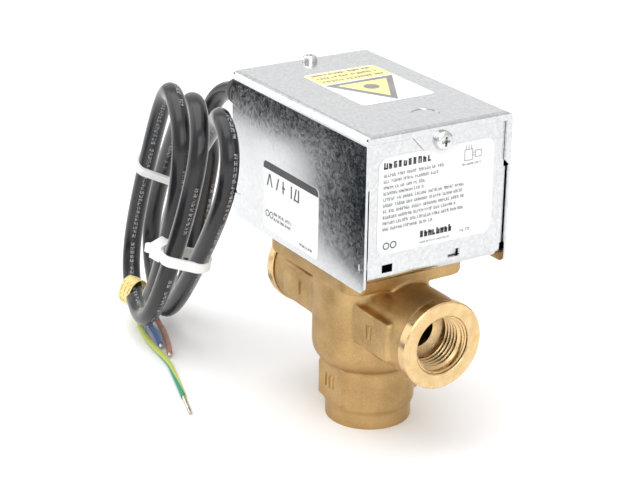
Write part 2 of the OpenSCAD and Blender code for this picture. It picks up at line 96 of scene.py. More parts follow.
CAMERA_AZIMUTH = 57.7
CAMERA_ELEVATION = 21.72
CAMERA_ROLL = 0.93
CAMERA_DISTANCE = 694.6
CAMERA_TARGET = np.array([0, 0, 60.0])
CAMERA_RIGHT = -19.44
CAMERA_UP = 9.83
LENS = 104.0


def make_camera():
    az, el, roll = (math.radians(a) for a in (CAMERA_AZIMUTH, CAMERA_ELEVATION, CAMERA_ROLL))
    back = np.array([math.sin(az) * math.cos(el), -math.cos(az) * math.cos(el), math.sin(el)])
    right = np.array([math.cos(az), math.sin(az), 0])
    up = np.cross(back, right)
    place = CAMERA_TARGET + back * CAMERA_DISTANCE + right * CAMERA_RIGHT + up * CAMERA_UP
    turned_right = math.cos(roll) * right + math.sin(roll) * up
    turned_up = math.cos(roll) * up - math.sin(roll) * right
    data = bpy.data.cameras.new("camera")
    data.lens = LENS
    data.clip_start = 0.01
    data.clip_end = 30
    camera = linked("camera", data)
    turn = Matrix((turned_right, turned_up, back)).transposed().to_4x4()
    camera.matrix_world = Matrix.Translation(Vector(place * MM)) @ turn
    bpy.context.scene.camera = camera


make_camera()


# ---------- materials ----------

class Look:
    """A procedural material in object coordinates. Scales are in features per metre."""

    def __init__(self, name, **sockets):
        self.mat = bpy.data.materials.new(name)
        self.mat.use_nodes = True
        self.tree = self.mat.node_tree
        self.bsdf = self.tree.nodes["Principled BSDF"]
        for key, value in sockets.items():
            self.bsdf.inputs[key.replace("_", " ")].default_value = value
        self.where = self.tree.nodes.new("ShaderNodeTexCoord")

    def add(self, kind, **settings):
        node = self.tree.nodes.new(kind)
        for key, value in settings.items():
            setattr(node, key, value)
        return node

    def link(self, a, b):
        self.tree.links.new(a, b)

    def place(self, stretch=(1, 1, 1), offset=(0, 0, 0), source="Object"):
        node = self.add("ShaderNodeMapping")
        node.inputs["Scale"].default_value = stretch
        node.inputs["Location"].default_value = offset
        self.link(self.where.outputs[source], node.inputs["Vector"])
        return node.outputs["Vector"]

    def noise(self, scale, detail=3.0, stretch=(1, 1, 1)):
        node = self.add("ShaderNodeTexNoise")
        node.inputs["Scale"].default_value = scale
        node.inputs["Detail"].default_value = detail
        self.link(self.place(stretch), node.inputs["Vector"])
        return node.outputs["Fac"]

    def cells(self, scale, stretch=(1, 1, 1)):
        node = self.add("ShaderNodeTexVoronoi")
        node.inputs["Scale"].default_value = scale
        self.link(self.place(stretch), node.inputs["Vector"])
        grey = self.add("ShaderNodeSeparateColor")
        self.link(node.outputs["Color"], grey.inputs["Color"])
        return grey.outputs["Red"]

    def rings(self, axis, centre, scale):
        node = self.add("ShaderNodeTexWave", wave_type="RINGS", rings_direction=axis)
        node.inputs["Scale"].default_value = scale
        node.inputs["Distortion"].default_value = 0.6
        node.inputs["Detail Scale"].default_value = 2.0
        self.link(self.place(offset=tuple(-c * MM for c in centre)), node.inputs["Vector"])
        return node.outputs["Fac"]

    def uv(self):
        """UV x and UV y."""
        parts = self.add("ShaderNodeSeparateXYZ")
        self.link(self.where.outputs["UV"], parts.inputs["Vector"])
        return parts.outputs["X"], parts.outputs["Y"]

    def math(self, operation, a, b=None):
        node = self.add("ShaderNodeMath", operation=operation)
        for slot, value in enumerate((a, b)):
            if value is None:
                continue
            if isinstance(value, (int, float)):
                node.inputs[slot].default_value = value
            else:
                self.link(value, node.inputs[slot])
        return node.outputs["Value"]

    def spread(self, value, low, high, from_low=0.3, from_high=0.7):
        node = self.add("ShaderNodeMapRange")
        node.inputs["From Min"].default_value = from_low
        node.inputs["From Max"].default_value = from_high
        node.inputs["To Min"].default_value = low
        node.inputs["To Max"].default_value = high
        self.link(value, node.inputs["Value"])
        return node.outputs["Result"]

    def blend(self, value, a, b):
        node = self.add("ShaderNodeMix", data_type="RGBA")
        self.link(value, node.inputs["Factor"])
        for slot, colour in (("A", a), ("B", b)):
            socket = next(s for s in node.inputs if s.name == slot and s.type == "RGBA")
            if isinstance(colour, tuple):
                socket.default_value = (*colour, 1)
            else:
                self.link(colour, socket)
        return next(s for s in node.outputs if s.type == "RGBA")

    def colour(self, socket):
        self.link(socket, self.bsdf.inputs["Base Color"])

    def rough(self, socket):
        self.link(socket, self.bsdf.inputs["Roughness"])

    def bump(self, height, depth, strength=1.0):
        """Bump of a height map, depth in millimetres. Calls chain."""
        node = self.add("ShaderNodeBump")
        node.inputs["Strength"].default_value = strength
        node.inputs["Distance"].default_value = depth * MM
        self.link(height, node.inputs["Height"])
        normal = self.bsdf.inputs["Normal"]
        if normal.is_linked:
            self.link(normal.links[0].from_socket, node.inputs["Normal"])
        self.link(node.outputs["Normal"], normal)


def galvanised():
    """Zinc-coated sheet: a fine close spangle, faint specks and a few dull smears over a soft mirror."""
    look = Look("galvanised_sheet", Metallic=1.0)
    crystals = look.cells(900)
    grain = look.noise(1700, 4)
    smear = look.noise(38, 3)
    mottle = look.math("ADD", look.math("MULTIPLY", crystals, 0.30), look.math("MULTIPLY", grain, 0.7))
    shade = look.blend(look.spread(mottle, 0, 1, 0.25, 0.75), (0.56, 0.575, 0.585), (0.74, 0.75, 0.755))
    look.colour(look.blend(look.spread(smear, 0, 0.3), shade, (0.68, 0.685, 0.68)))
    look.rough(look.math("ADD", look.spread(crystals, 0.08, 0.14, 0, 1), look.spread(smear, 0, 0.05)))
    look.bump(grain, 0.010, 0.35)
    look.bump(crystals, 0.006, 0.25)
    return look.mat


def cast_brass():
    """Blasted sand casting: a grained skin, darker where the blasting missed."""
    look = Look("cast_brass", Metallic=1.0)
    skin = look.noise(1500, 4)
    fine = look.noise(5200, 2)
    patch = look.noise(90, 4)
    tone = look.blend(look.spread(patch, 0, 1), (0.385, 0.235, 0.092), (0.56, 0.375, 0.165))
    look.colour(look.blend(look.spread(fine, 0, 0.55, 0.48, 0.75), tone, (0.88, 0.66, 0.36)))
    look.rough(look.spread(skin, 0.36, 0.54))
    look.bump(skin, 0.16, 0.55)
    look.bump(fine, 0.04, 0.5)
    look.bump(look.noise(160, 2), 0.30, 0.5)
    return look.mat


def turned_brass(name, axis, centre, rings=3200):
    """Machined brass with fine tool rings about an axis."""
    look = Look(name, Metallic=1.0)
    ring = look.rings(axis, centre, rings)
    stain = look.noise(260, 4)
    look.colour(look.blend(look.spread(stain, 0, 1), (0.66, 0.46, 0.225), (0.82, 0.60, 0.325)))
    look.rough(look.spread(stain, 0.20, 0.33))
    look.bump(ring, 0.006, 0.5)
    look.bump(look.noise(1800, 2), 0.008, 0.4)
    return look.mat


def shade_dark_brass():
    # Brass of the bonnet plate: its dark brown is painted shade, standing in for the shadow the plate lies in
    # under the head, with random patches over it.
    look = Look("shade_dark_brass", Metallic=0.95)
    patch = look.noise(180, 4)
    look.colour(look.blend(look.spread(patch, 0, 1), (0.21, 0.14, 0.065), (0.37, 0.25, 0.12)))
    look.rough(look.spread(patch, 0.42, 0.58))
    look.bump(look.noise(2600, 3), 0.03, 0.5)
    return look.mat


def zinc(name="bright_zinc", low=(0.62, 0.65, 0.66), high=(0.80, 0.80, 0.75)):
    """Bright zinc plating with a faint passivated tint."""
    look = Look(name, Metallic=1.0)
    tint = look.noise(420, 3)
    look.colour(look.blend(look.spread(tint, 0, 1), low, high))
    look.rough(look.spread(look.noise(900, 3), 0.17, 0.33))
    look.bump(look.noise(3000, 2), 0.01, 0.4)
    return look.mat


def moulded(name, low, high, rough=(0.38, 0.52), grain=2200, depth=0.012, **sockets):
    """Moulded or extruded plastic or rubber: slight shading of the colour and a fine skin."""
    look = Look(name, **sockets)
    skin = look.noise(grain, 3)
    look.colour(look.blend(look.spread(look.noise(grain / 9, 3), 0, 1), low, high))
    look.rough(look.spread(skin, *rough))
    look.bump(skin, depth, 0.5)
    return look.mat


def lead_sheath():
    """Smooth black PVC with a soft gloss. Two bands of small broken dots along it stand for its printing.
    UV x runs round the tube and UV y is the distance along it in metres."""
    look = Look("lead_sheath", Specular_IOR_Level=0.5)
    x, y = look.uv()
    across = look.math("SUBTRACT", look.math("FRACT", look.math("MULTIPLY", x, 2)), 0.32)
    rows = look.math("FLOOR", look.math("MULTIPLY", across, 38))
    ticks = look.math("LESS_THAN", look.math("ABSOLUTE", look.math("SUBTRACT", across, 0.07)), 0.07)
    letter = 0.0021
    for size, limit, by_row in ((0.00034, 0.55, True), (letter, 0.15, False), (0.023, 0.5, False)):
        column = look.math("FLOOR", look.math("DIVIDE", y, size))
        white = look.add("ShaderNodeTexWhiteNoise", noise_dimensions="2D")
        spot = look.add("ShaderNodeCombineXYZ")
        look.link(column, spot.inputs["X"])
        if by_row:
            look.link(rows, spot.inputs["Y"])
        look.link(spot.outputs["Vector"], white.inputs["Vector"])
        ticks = look.math("MULTIPLY", ticks, look.math("GREATER_THAN", white.outputs["Value"], limit))
    part = look.math("FRACT", look.math("DIVIDE", y, letter))
    ticks = look.math("MULTIPLY", ticks, look.math("LESS_THAN", part, 0.74))
    black = look.blend(look.spread(look.noise(60, 2), 0, 1), (0.009, 0.009, 0.0105), (0.017, 0.017, 0.019))
    look.colour(look.blend(look.math("MULTIPLY", ticks, 0.5), black, (0.62, 0.65, 0.69)))
    look.rough(look.spread(look.noise(260, 2), 0.16, 0.26))
    look.bump(look.noise(70, 1), 0.10, 0.25)
    return look.mat


def earth_insulation():
    """Green insulation with the yellow stripe winding slowly round it."""
    look = Look("earth_insulation", Roughness=0.36)
    x, y = look.uv()
    turn = look.math("ADD", x, look.math("DIVIDE", y, 0.115))
    stripe = look.math("FRACT", look.math("ADD", turn, 0.88))
    edge = look.spread(look.math("ABSOLUTE", look.math("SUBTRACT", stripe, 0.5)), 0, 1, 0.24, 0.26)
    look.colour(look.blend(edge, (0.0, 0.235, 0.130), (0.46, 0.52, 0.07)))
    look.bump(look.noise(900, 2), 0.02, 0.3)
    return look.mat


def label_film(name, low, high):
    look = Look(name, Coat_Weight=0.25, Coat_Roughness=0.25)
    look.colour(look.blend(look.spread(look.noise(60, 3), 0, 1), low, high))
    look.rough(look.spread(look.noise(400, 3), 0.34, 0.48))
    look.bump(look.noise(120, 2), 0.03, 0.3)
    return look.mat


def tag_tape():
    """Pale yellow tape with three broken rows of fine dots."""
    look = Look("tag_tape")
    x, y = look.uv()
    row = look.math("SUBTRACT", look.math("FRACT", look.math("MULTIPLY", y, 3)), 0.5)
    row = look.math("LESS_THAN", look.math("ABSOLUTE", row), 0.09)
    white = look.add("ShaderNodeTexWhiteNoise", noise_dimensions="1D")
    look.link(look.math("FLOOR", look.math("MULTIPLY", x, 44)), white.inputs["W"])
    marks = look.math("MULTIPLY", row, look.math("GREATER_THAN", white.outputs["Value"], 0.55))
    yellow = look.blend(look.spread(look.noise(300, 3), 0, 1), (0.80, 0.62, 0.20), (0.90, 0.76, 0.36))
    look.colour(look.blend(look.math("MULTIPLY", marks, 0.8), yellow, (0.16, 0.12, 0.04)))
    look.rough(look.spread(look.noise(500, 3), 0.42, 0.6))
    look.bump(look.noise(500, 3), 0.06, 0.5)
    return look.mat


PORT_B, PORT_B_DIMS = mount("port_b")
PORT_Z = PORT_B[2]

LOOKS = {
    "galvanised": galvanised(),
    "cast": cast_brass(),
    "turned_x": turned_brass("turned_brass_x", "X", (0, 0, PORT_Z)),
    "turned_z": turned_brass("turned_brass_z", "Z", (0, 0, 0)),
    "shade_dark_brass": shade_dark_brass(),
    "zinc": zinc(),
    "steel": zinc("plain_steel", (0.50, 0.50, 0.50), (0.62, 0.61, 0.60)),
    "rubber": moulded("rubber", (0.020, 0.020, 0.020), (0.038, 0.037, 0.036), (0.55, 0.72), 1600, 0.03),
    "gear": moulded(
        "natural_nylon", (0.74, 0.70, 0.58), (0.84, 0.80, 0.70),
        Subsurface_Weight=0.15, Subsurface_Scale=0.002,
    ),
    "case": moulded("motor_case", (0.020, 0.021, 0.024), (0.034, 0.035, 0.040), (0.42, 0.58)),
    "gland": moulded("gland_nylon", (0.013, 0.013, 0.014), (0.026, 0.026, 0.027), (0.36, 0.48), 1500, 0.02),
    "tie": moulded(
        "tie_nylon", (0.80, 0.80, 0.79), (0.88, 0.88, 0.87), (0.34, 0.46),
        Subsurface_Weight=0.2, Subsurface_Scale=0.002,
    ),
    "white_pvc": moulded("white_pvc", (0.76, 0.76, 0.74), (0.86, 0.86, 0.84), (0.36, 0.5)),
    "blue_pvc": moulded("blue_pvc", (0.0, 0.085, 0.30), (0.005, 0.125, 0.38), (0.34, 0.46)),
    "brown_pvc": moulded("brown_pvc", (0.30, 0.125, 0.070), (0.40, 0.180, 0.105), (0.34, 0.46)),
    "sheath": lead_sheath(),
    "earth": earth_insulation(),
    "copper": zinc("tinned_copper", (0.38, 0.33, 0.27), (0.60, 0.55, 0.48)),
    "film": label_film("label_film", (0.76, 0.765, 0.77), (0.81, 0.81, 0.81)),
    "ink": label_film("label_ink", (0.020, 0.020, 0.022), (0.040, 0.040, 0.042)),
    "grey_ink": label_film("label_grey_ink", (0.16, 0.16, 0.165), (0.23, 0.23, 0.235)),
    "yellow_film": label_film("yellow_film", (0.80, 0.67, 0.26), (0.86, 0.73, 0.31)),
    "tape": tag_tape(),
}


# ---------- meshes ----------

def piece(name, points, faces, look, body="valve", uv=None, smooth=True, slot=None):
    """A mesh piece from points in millimetres. uv gives one pair for each corner, face after face."""
    mesh = bpy.data.meshes.new(name)
    mesh.from_pydata((np.asarray(points, float) * MM).tolist(), [], faces)
    if uv is not None:
        layer = mesh.uv_layers.new(name="UVMap")
        layer.data.foreach_set("uv", np.asarray(uv, np.float32).ravel())
    obj = linked(name, mesh)
    finish_piece(obj, look, body, smooth, slot)
    return obj


def finish_piece(obj, look, body="valve", smooth=True, slot=None, angle=32):
    mesh = obj.data
    mesh.materials.clear()
    mesh.materials.append(LOOKS[look])
    mesh.polygons.foreach_set("use_smooth", [smooth] * len(mesh.polygons))
    if smooth:
        mesh.set_sharp_from_angle(angle=math.radians(angle))
    if body:
        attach(obj, body)


def baked(obj):
    """Turns an object's modifiers into its mesh."""
    graph = bpy.context.evaluated_depsgraph_get()
    mesh = bpy.data.meshes.new_from_object(obj.evaluated_get(graph))
    obj.modifiers.clear()
    obj.data = mesh
    return obj


def combine(obj, tool, operation):
    """Cuts, joins or crosses obj with tool, and removes tool."""
    step = obj.modifiers.new("combine", "BOOLEAN")
    step.operation = operation
    step.solver = "MANIFOLD"
    step.object = tool
    bpy.context.view_layer.update()
    baked(obj)
    bpy.data.objects.remove(tool)
    return obj


def loose(name, build):
    """An unfinished object whose mesh the function build makes in a bmesh, in millimetres."""
    bm = bmesh.new()
    build(bm)
    bmesh.ops.recalc_face_normals(bm, faces=bm.faces)
    bmesh.ops.scale(bm, vec=(MM, MM, MM), verts=bm.verts)
    mesh = bpy.data.meshes.new(name)
    bm.to_mesh(mesh)
    bm.free()
    return linked(name, mesh)


def cut(obj, build):
    """Cuts from obj the shape that the function build makes."""
    return combine(obj, loose("cutter", build), "DIFFERENCE")


QUARTER = math.pi / 2
AXES = {
    "X": Matrix.Rotation(QUARTER, 4, "Y"),
    "Y": Matrix.Rotation(-QUARTER, 4, "X"),
    "Z": Matrix.Identity(4),
}


def add_rod(bm, start, axis, length, r0, r1=None, sides=96):
    """A cylinder or cone from start along an axis, X, Y or Z."""
    r1 = r0 if r1 is None else r1
    shift = Matrix.Translation(Vector(start)) @ AXES[axis] @ Matrix.Translation((0, 0, length / 2))
    flip = length < 0
    bmesh.ops.create_cone(
        bm, cap_ends=True, segments=sides, radius1=r1 if flip else r0, radius2=r0 if flip else r1,
        depth=abs(length), matrix=shift,
    )


def add_box(bm, low, high):
    low, high = Vector(low), Vector(high)
    size = high - low
    place = Matrix.Translation((low + high) / 2) @ Matrix.Diagonal((*size, 1))
    bmesh.ops.create_cube(bm, size=1, matrix=place)


def lathe(profile, sides=96, turn=None, start=(0, 0, 0)):
    """Points and faces of a profile of (height, radius) turned about Z, then placed by the matrix turn and
    start. Where a radius is 0 the rings close in a point."""
    points, rings, faces = [], [], []
    for height, radius in profile:
        if radius <= 1e-9:
            rings.append([len(points)] * sides)
            points.append((0, 0, height))
            continue
        rings.append([len(points) + k for k in range(sides)])
        for k in range(sides):
            a = 2 * math.pi * k / sides
            points.append((radius * math.cos(a), radius * math.sin(a), height))
    for low, high in zip(rings, rings[1:]):
        for k in range(sides):
            corner = [low[k], low[(k + 1) % sides], high[(k + 1) % sides], high[k]]
            face = list(dict.fromkeys(corner))
            if len(face) > 2:
                faces.append(face)
    turn = turn or Matrix.Identity(4)
    move = Matrix.Translation(Vector(start)) @ turn
    return [tuple(move @ Vector(p)) for p in points], faces


def closed_lathe(profile, **place):
    """A ring-shaped solid: the profile's last point joins its first."""
    points, faces = lathe(profile + [profile[0]], **place)
    sides = place.get("sides", 96)
    last = len(points) - sides
    return points[:last], [[i % last if i >= last else i for i in f] for f in faces]


def outward(obj):
    bm = bmesh.new()
    bm.from_mesh(obj.data)
    bmesh.ops.recalc_face_normals(bm, faces=bm.faces)
    bm.to_mesh(obj.data)
    bm.free()
    return obj


def arc(cx, cy, r, a0, a1, n=8):
    angles = [math.radians(a0 + (a1 - a0) * k / n) for k in range(n + 1)]
    return [(cx + r * math.cos(a), cy + r * math.sin(a)) for a in angles]


def rounded_outline(x0, y0, x1, y1, r):
    corners = ((x1 - r, y1 - r), (x0 + r, y1 - r), (x0 + r, y0 + r), (x1 - r, y0 + r))
    return [p for k, (cx, cy) in enumerate(corners) for p in arc(cx, cy, r, 90 * k, 90 * k + 90)]


def ring_faces(rings, sides, closed=False):
    """Faces between rings of points that all have the same number of sides. closed joins last to first."""
    faces = []
    for i in range(rings if closed else rings - 1):
        a, b = i * sides, (i + 1) % rings * sides
        faces += [[a + j, a + (j + 1) % sides, b + (j + 1) % sides, b + j] for j in range(sides)]
    return faces


def end_faces(rings, sides):
    return [list(range(sides))[::-1], [(rings - 1) * sides + k for k in range(sides)]]


def slab(outline, place, depth):
    """Points and faces of a flat plate. place(u, v, w) puts its outline in space, w from 0 to depth."""
    n = len(outline)
    points = [place(u, v, 0) for u, v in outline] + [place(u, v, depth) for u, v in outline]
    faces = [list(range(n))[::-1], [n + k for k in range(n)]]
    faces += [[k, (k + 1) % n, n + (k + 1) % n, n + k] for k in range(n)]
    return points, faces


def gathered(parts):
    """One list of points and faces from several."""
    points, faces = [], []
    for p, f in parts:
        faces += [[i + len(points) for i in face] for face in f]
        points += list(p)
    return points, faces


# ---------- tubes and cords ----------

def unit(rows):
    return rows / np.linalg.norm(rows, axis=1)[:, None]


def distances(line):
    """Distance along a line to each of its points."""
    return np.r_[0, np.cumsum(np.linalg.norm(np.diff(line, axis=0), axis=1))]


def smooth_line(points, spacing):
    """A Catmull-Rom line through the points, cut into even steps of about this spacing."""
    p = np.asarray(points, float)
    p = np.vstack([2 * p[0] - p[1], p, 2 * p[-1] - p[-2]])
    t = np.linspace(0, 1, 16, endpoint=False)[:, None]
    rows = []
    for a, b, c, d in zip(p, p[1:], p[2:], p[3:]):
        square, cube = 2 * a - 5 * b + 4 * c - d, 3 * b - a - 3 * c + d
        rows.append(0.5 * (2 * b + (c - a) * t + square * t**2 + cube * t**3))
    return evenly(np.vstack([*rows, p[-2:-1]]), spacing)


def evenly(line, spacing):
    far = distances(line)
    at = np.linspace(0, far[-1], max(2, int(round(far[-1] / spacing)) + 1))
    return np.column_stack([np.interp(at, far, line[:, k]) for k in range(3)])


def carried_frames(line, first=(0, 0, 1)):
    """Tangent and two side directions at each point, carried along without twist."""
    tangents = unit(np.gradient(line, axis=0))
    side = np.asarray(first, float)
    us = []
    for t in tangents:
        side = side - t * (side @ t)
        if np.linalg.norm(side) < 1e-6:
            side = np.cross(t, (1, 0, 0))
        side = side / np.linalg.norm(side)
        us.append(side)
    us = np.array(us)
    return tangents, us, np.cross(tangents, us)


def tube(name, line, radius, look, body="valve", sides=20, first=(0, 0, 1), lobes=0, twist=0.0, slot=None):
    """A round tube along a line, with domed ends. UV x runs round it and UV y is the distance along it in
    metres. lobes and twist make it a bundle of twisted strands."""
    tangents, us, vs = carried_frames(line, first)
    along = distances(line)
    caps = ((-0.28, 0.5), (-0.20, 0.8), (-0.08, 0.96))
    rings = [(line[0] + tangents[0] * radius * d, us[0], vs[0], s, along[0]) for d, s in caps]
    rings += [(p, u, v, 1.0, a) for p, u, v, a in zip(line, us, vs, along)]
    rings += [(line[-1] - tangents[-1] * radius * d, us[-1], vs[-1], s, along[-1]) for d, s in reversed(caps)]
    points = []
    for centre, u, v, size, at in rings:
        for k in range(sides):
            a = 2 * math.pi * k / sides
            r = radius * size * (1 + (0.16 * math.cos(lobes * a) if lobes else 0))
            a += twist * at
            points.append(centre + r * (math.cos(a) * u + math.sin(a) * v))
    uv = []
    for ring, after in zip(rings, rings[1:]):
        v0, v1 = ring[4] * MM, after[4] * MM
        for k in range(sides):
            u0, u1 = k / sides, (k + 1) / sides
            uv += [(u0, v0), (u1, v0), (u1, v1), (u0, v1)]
    uv += [(0, 0)] * sides + [(0, along[-1] * MM)] * sides
    faces = ring_faces(len(rings), sides) + end_faces(len(rings), sides)
    obj = piece(name, points, faces, look, body, uv, slot=slot)
    return outward(obj)


# ---------- mains lead: one length, straight out of the gland and wound into a tied hank ----------

LEAD_R = 3.75
GLAND_Y, GLAND_Z = -20, 114.5
STEP = 2.0
COVER_LOW, COVER_HIGH = span("cover")

# out of the gland and over into the first fall
LEAD_IN = [
    *((x, GLAND_Y, GLAND_Z) for x in (-58, -63, -68)), (-74, -20, 113.8), (-79.5, -20.3, 111.2),
    (-84, -21, 106.6), (-86.8, -21.8, 101), (-88.6, -22.5, 95),
]
# the hank's turning points, from the far top, then bottom and top by turns
TURNS = [
    (-111, -7.5, 107.5), (-121.5, -22.5, 11.5), (-47.5, -32.5, 108.5), (-118, -30.5, 15.5),
    (-74.5, -33.5, 109), (-113, -43, 13), (-86, -37.5, 112), (-116, -37, 17),
]
# how far each run bows out at its start and at its end
BOWS = [(16.5, 27), (30.5, 13), (23.5, 25), (31, 13), (25.5, 28), (26, 13), (31, 17)]
# the way to which the bows of the first, third and later odd runs point
NEAR = np.array([0.968, -0.25, 0])
# points of the lead nearer along it than this are never pushed apart
SAME_RUN = 40
# the first part of the lead is held by the gland, and is let go over as much again
HELD = 24
# the lead's centreline stays this far from port A's axis
PORT_CLEAR = 14.5


def relaxed(line, rounds):
    line = line.copy()
    for _ in range(rounds):
        line[1:-1] = 0.5 * line[1:-1] + 0.25 * (line[:-2] + line[2:])
    return line


def hank_line():
    """The lead's centreline: one bowed run between each two turning points, evened out, then settled until no
    run lies in another, in the head or in the way to port A."""
    runs = []
    for k, (bow0, bow1) in enumerate(BOWS):
        a, b = np.array(TURNS[k], float), np.array(TURNS[k + 1], float)
        reach = np.linalg.norm(b - a)
        along = (b - a) / reach
        side = NEAR - along * (NEAR @ along)
        side *= (1 if k % 2 == 0 else -1) / np.linalg.norm(side)
        turn = np.linspace(0, math.pi, 36)
        part = 0.5 * (1 - np.sign(np.cos(turn)) * np.abs(np.cos(turn)) ** 0.75)
        bow = (bow0 * (1 - part) + bow1 * part) * np.sin(turn) ** 0.62
        runs.append(a + np.outer(part * reach, along) + np.outer(bow, side))
    line = np.vstack([LEAD_IN, runs[0][13:], *[r[1:] for r in runs[1:-1]], runs[-1][1:31]])
    line = evenly(relaxed(evenly(line, STEP), 30), STEP)
    return settled(line)


def settled(rest):
    shift = np.zeros_like(rest)
    order = np.arange(len(rest)) * STEP
    apart = np.abs(order[:, None] - order[None]) > SAME_RUN
    free = np.clip((order - HELD) / HELD, 0, 1)[:, None]
    for _ in range(60):
        now = rest + shift
        gap = now[:, None] - now[None]
        far = np.linalg.norm(gap, axis=2)
        near = apart & (far < 2 * LEAD_R)
        push = gap / np.maximum(far, 1e-6)[..., None] * ((2 * LEAD_R - far) * 0.5)[..., None]
        move = np.where(near[..., None], push, 0).sum(1) / np.maximum(1, near.sum(1))[:, None]
        off = now - np.clip(now, COVER_LOW, COVER_HIGH)
        away = np.linalg.norm(off, axis=1)[:, None]
        move += off / np.maximum(away, 1e-6) * np.clip(LEAD_R + 0.3 - away, 0, None)
        pipe = np.hypot(now[:, 1], now[:, 2] - PORT_Z)[:, None]
        toward = np.column_stack([np.zeros(len(now)), now[:, 1], now[:, 2] - PORT_Z]) / pipe
        move += toward * np.clip(PORT_CLEAR - pipe, 0, None) * 0.5
        shift = relaxed((shift + move * free), 3) * free
    return rest + shift


LEAD = evenly(hank_line(), 1.5)


CORE_R = 1.15
FLOOR = 1.2
CORES = {
    "earth": ([
        (-104.2, -40.4, 20.5), (-106.6, -40.1, 18.4), (-110.2, -39.3, 15.2), (-113.8, -38.6, 11.9),
        (-116.8, -38.3, 8.8), (-118.2, -38.7, 5.4), (-116.9, -39.6, 2.6), (-113.9, -40.9, 1.35),
        (-110.5, -42.2, FLOOR), (-99, -45, FLOOR), (-87, -46.5, FLOOR), (-74, -48, FLOOR),
        (-60, -52, FLOOR), (-44, -57, FLOOR),
    ], (-30.5, -61.2, FLOOR)),
    "blue": ([
        (-102.6, -41.4, 18.6), (-105, -41.1, 16.2), (-108.2, -40, 13), (-111.2, -38.9, 10.1),
        (-113.3, -38.1, 7), (-113.2, -37.6, 3.9), (-111.3, -37.6, 1.8), (-108, -38, FLOOR),
        (-102, -39.4, FLOOR), (-91, -42.8, FLOOR),
    ], (-88.7, -43.5, FLOOR)),
    "brown": ([
        (-102.6, -38.8, 19.2), (-104.6, -38.5, 16.9), (-106.9, -37.9, 13.4), (-108.9, -36.9, 10),
        (-109.9, -35.7, 6.6), (-109.2, -34.9, 3.5), (-107.1, -34.6, 1.7), (-104, -34.9, FLOOR),
        (-100, -36.2, FLOOR), (-90, -39.8, FLOOR), (-81.5, -43.4, FLOOR),
    ], (-79.4, -44.4, FLOOR)),
}


def make_cores():
    looks = {"earth": "earth", "blue": "blue_pvc", "brown": "brown_pvc"}
    slots = {"earth": "green_pvc", "blue": "blue_pvc", "brown": "brown_pvc"}
    for name, (route, tip) in CORES.items():
        line = smooth_line(route, 0.8)
        core = tube("core_" + name + "_wire", line, CORE_R, looks[name], sides=18, slot=slots[name])
        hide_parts("core_" + name)
        strands = evenly(np.array([line[-6], tip]), 0.5)
        bare = tube(
            "bare_" + name, strands, 0.68, "copper", sides=28, lobes=7, twist=0.9, slot="tinned_copper",
        )
        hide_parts("core_ends")


def make_gland():
    """Moulded strain relief: a flange against the sheet, then ribs that get thinner, with round edges."""
    profile = [(1.0, 4.0), (1.0, 7.6), (0.6, 7.9), (-1.2, 7.9), (-1.7, 7.4)]
    ribs, first, last = 5, -1.7, -15.6
    pitch = (last - first) / ribs
    for k in range(ribs):
        at = first + pitch * k
        r = 6.95 - 0.36 * k
        profile += [(at, 5.1)] if k else []
        profile += [
            (at + pitch * 0.25, 5.0), (at + pitch * 0.30, r - 0.35), (at + pitch * 0.38, r),
            (at + pitch * 0.90, r - 0.12), (at + pitch * 0.98, r - 0.5),
        ]
    profile += [(last, 5.0), (-17.6, 4.75), (-18.2, 4.45), (-18.2, LEAD_R - 0.02)]
    points, faces = closed_lathe(profile, sides=72, turn=AXES["X"], start=(-49.8, GLAND_Y, GLAND_Z))
    gland = outward(piece("gland_ribbed", points, faces, "gland", slot="black_nylon"))
    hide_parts("cable_gland")


# ---------- ties and tag ----------

def crossings(centre, normal, reach):
    """Where the lead's runs cross a plane, within reach of its centre."""
    side = (LEAD - centre) @ normal
    found = []
    for k in np.where(side[:-1] * side[1:] < 0)[0]:
        at = LEAD[k] + (LEAD[k + 1] - LEAD[k]) * side[k] / (side[k] - side[k + 1])
        if np.linalg.norm(at - centre) < reach:
            found.append(at)
    return found


def hull(points):
    """Convex outline of 2-D points, turning left."""
    points = sorted(map(tuple, points))
    sides = []
    for order in (points, points[::-1]):
        chain = []
        for p in order:
            while len(chain) > 1 and (
                (chain[-1][0] - chain[-2][0]) * (p[1] - chain[-2][1])
                - (chain[-1][1] - chain[-2][1]) * (p[0] - chain[-2][0])
            ) <= 0:
                chain.pop()
            chain.append(p)
        sides += chain[:-1]
    return np.array(sides)


def even_loop(outline, spacing):
    closed = np.vstack([outline, outline[:1]])
    far = distances(closed)
    at = np.linspace(0, far[-1], int(far[-1] / spacing) + 1)[:-1]
    return np.column_stack([np.interp(at, far, closed[:, k]) for k in range(2)])


def plane_axes(normal, towards=(0, 0, 1)):
    normal = np.array(normal, float) / np.linalg.norm(normal)
    u = np.array(towards, float)
    u -= normal * (u @ normal)
    u /= np.linalg.norm(u)
    return normal, u, np.cross(normal, u)


def strap_mesh(outline, centre, normal, u, v, width, thick, teeth=()):
    """A flat strap on its edge round a closed outline, with rounded edges; fine cross ribs on its outside
    where the loop's fraction lies in teeth."""
    n = len(outline)
    t = unit(np.roll(outline, -1, 0) - np.roll(outline, 1, 0))
    out = np.column_stack([t[:, 1], -t[:, 0]])
    h = width / 2
    section = [
        (-h, 0.12), (-h + 0.12, 0), (h - 0.12, 0), (h, 0.12), (h, thick - 0.18), (h - 0.2, thick),
        (h - 0.75, thick), (h - 0.9, thick - 0.16), (-h + 0.9, thick - 0.16), (-h + 0.75, thick),
        (-h + 0.2, thick), (-h, thick - 0.18),
    ]
    points = []
    for i in range(n):
        rib = 0.13 if teeth and teeth[0] < i / n < teeth[1] and i % 4 < 2 else 0
        for j, (w, d) in enumerate(section):
            d += rib if j in (7, 8) else 0
            p = outline[i] + out[i] * d
            points.append(centre + u * p[0] + v * p[1] + normal * w)
    return points, ring_faces(n, len(section), closed=True), out


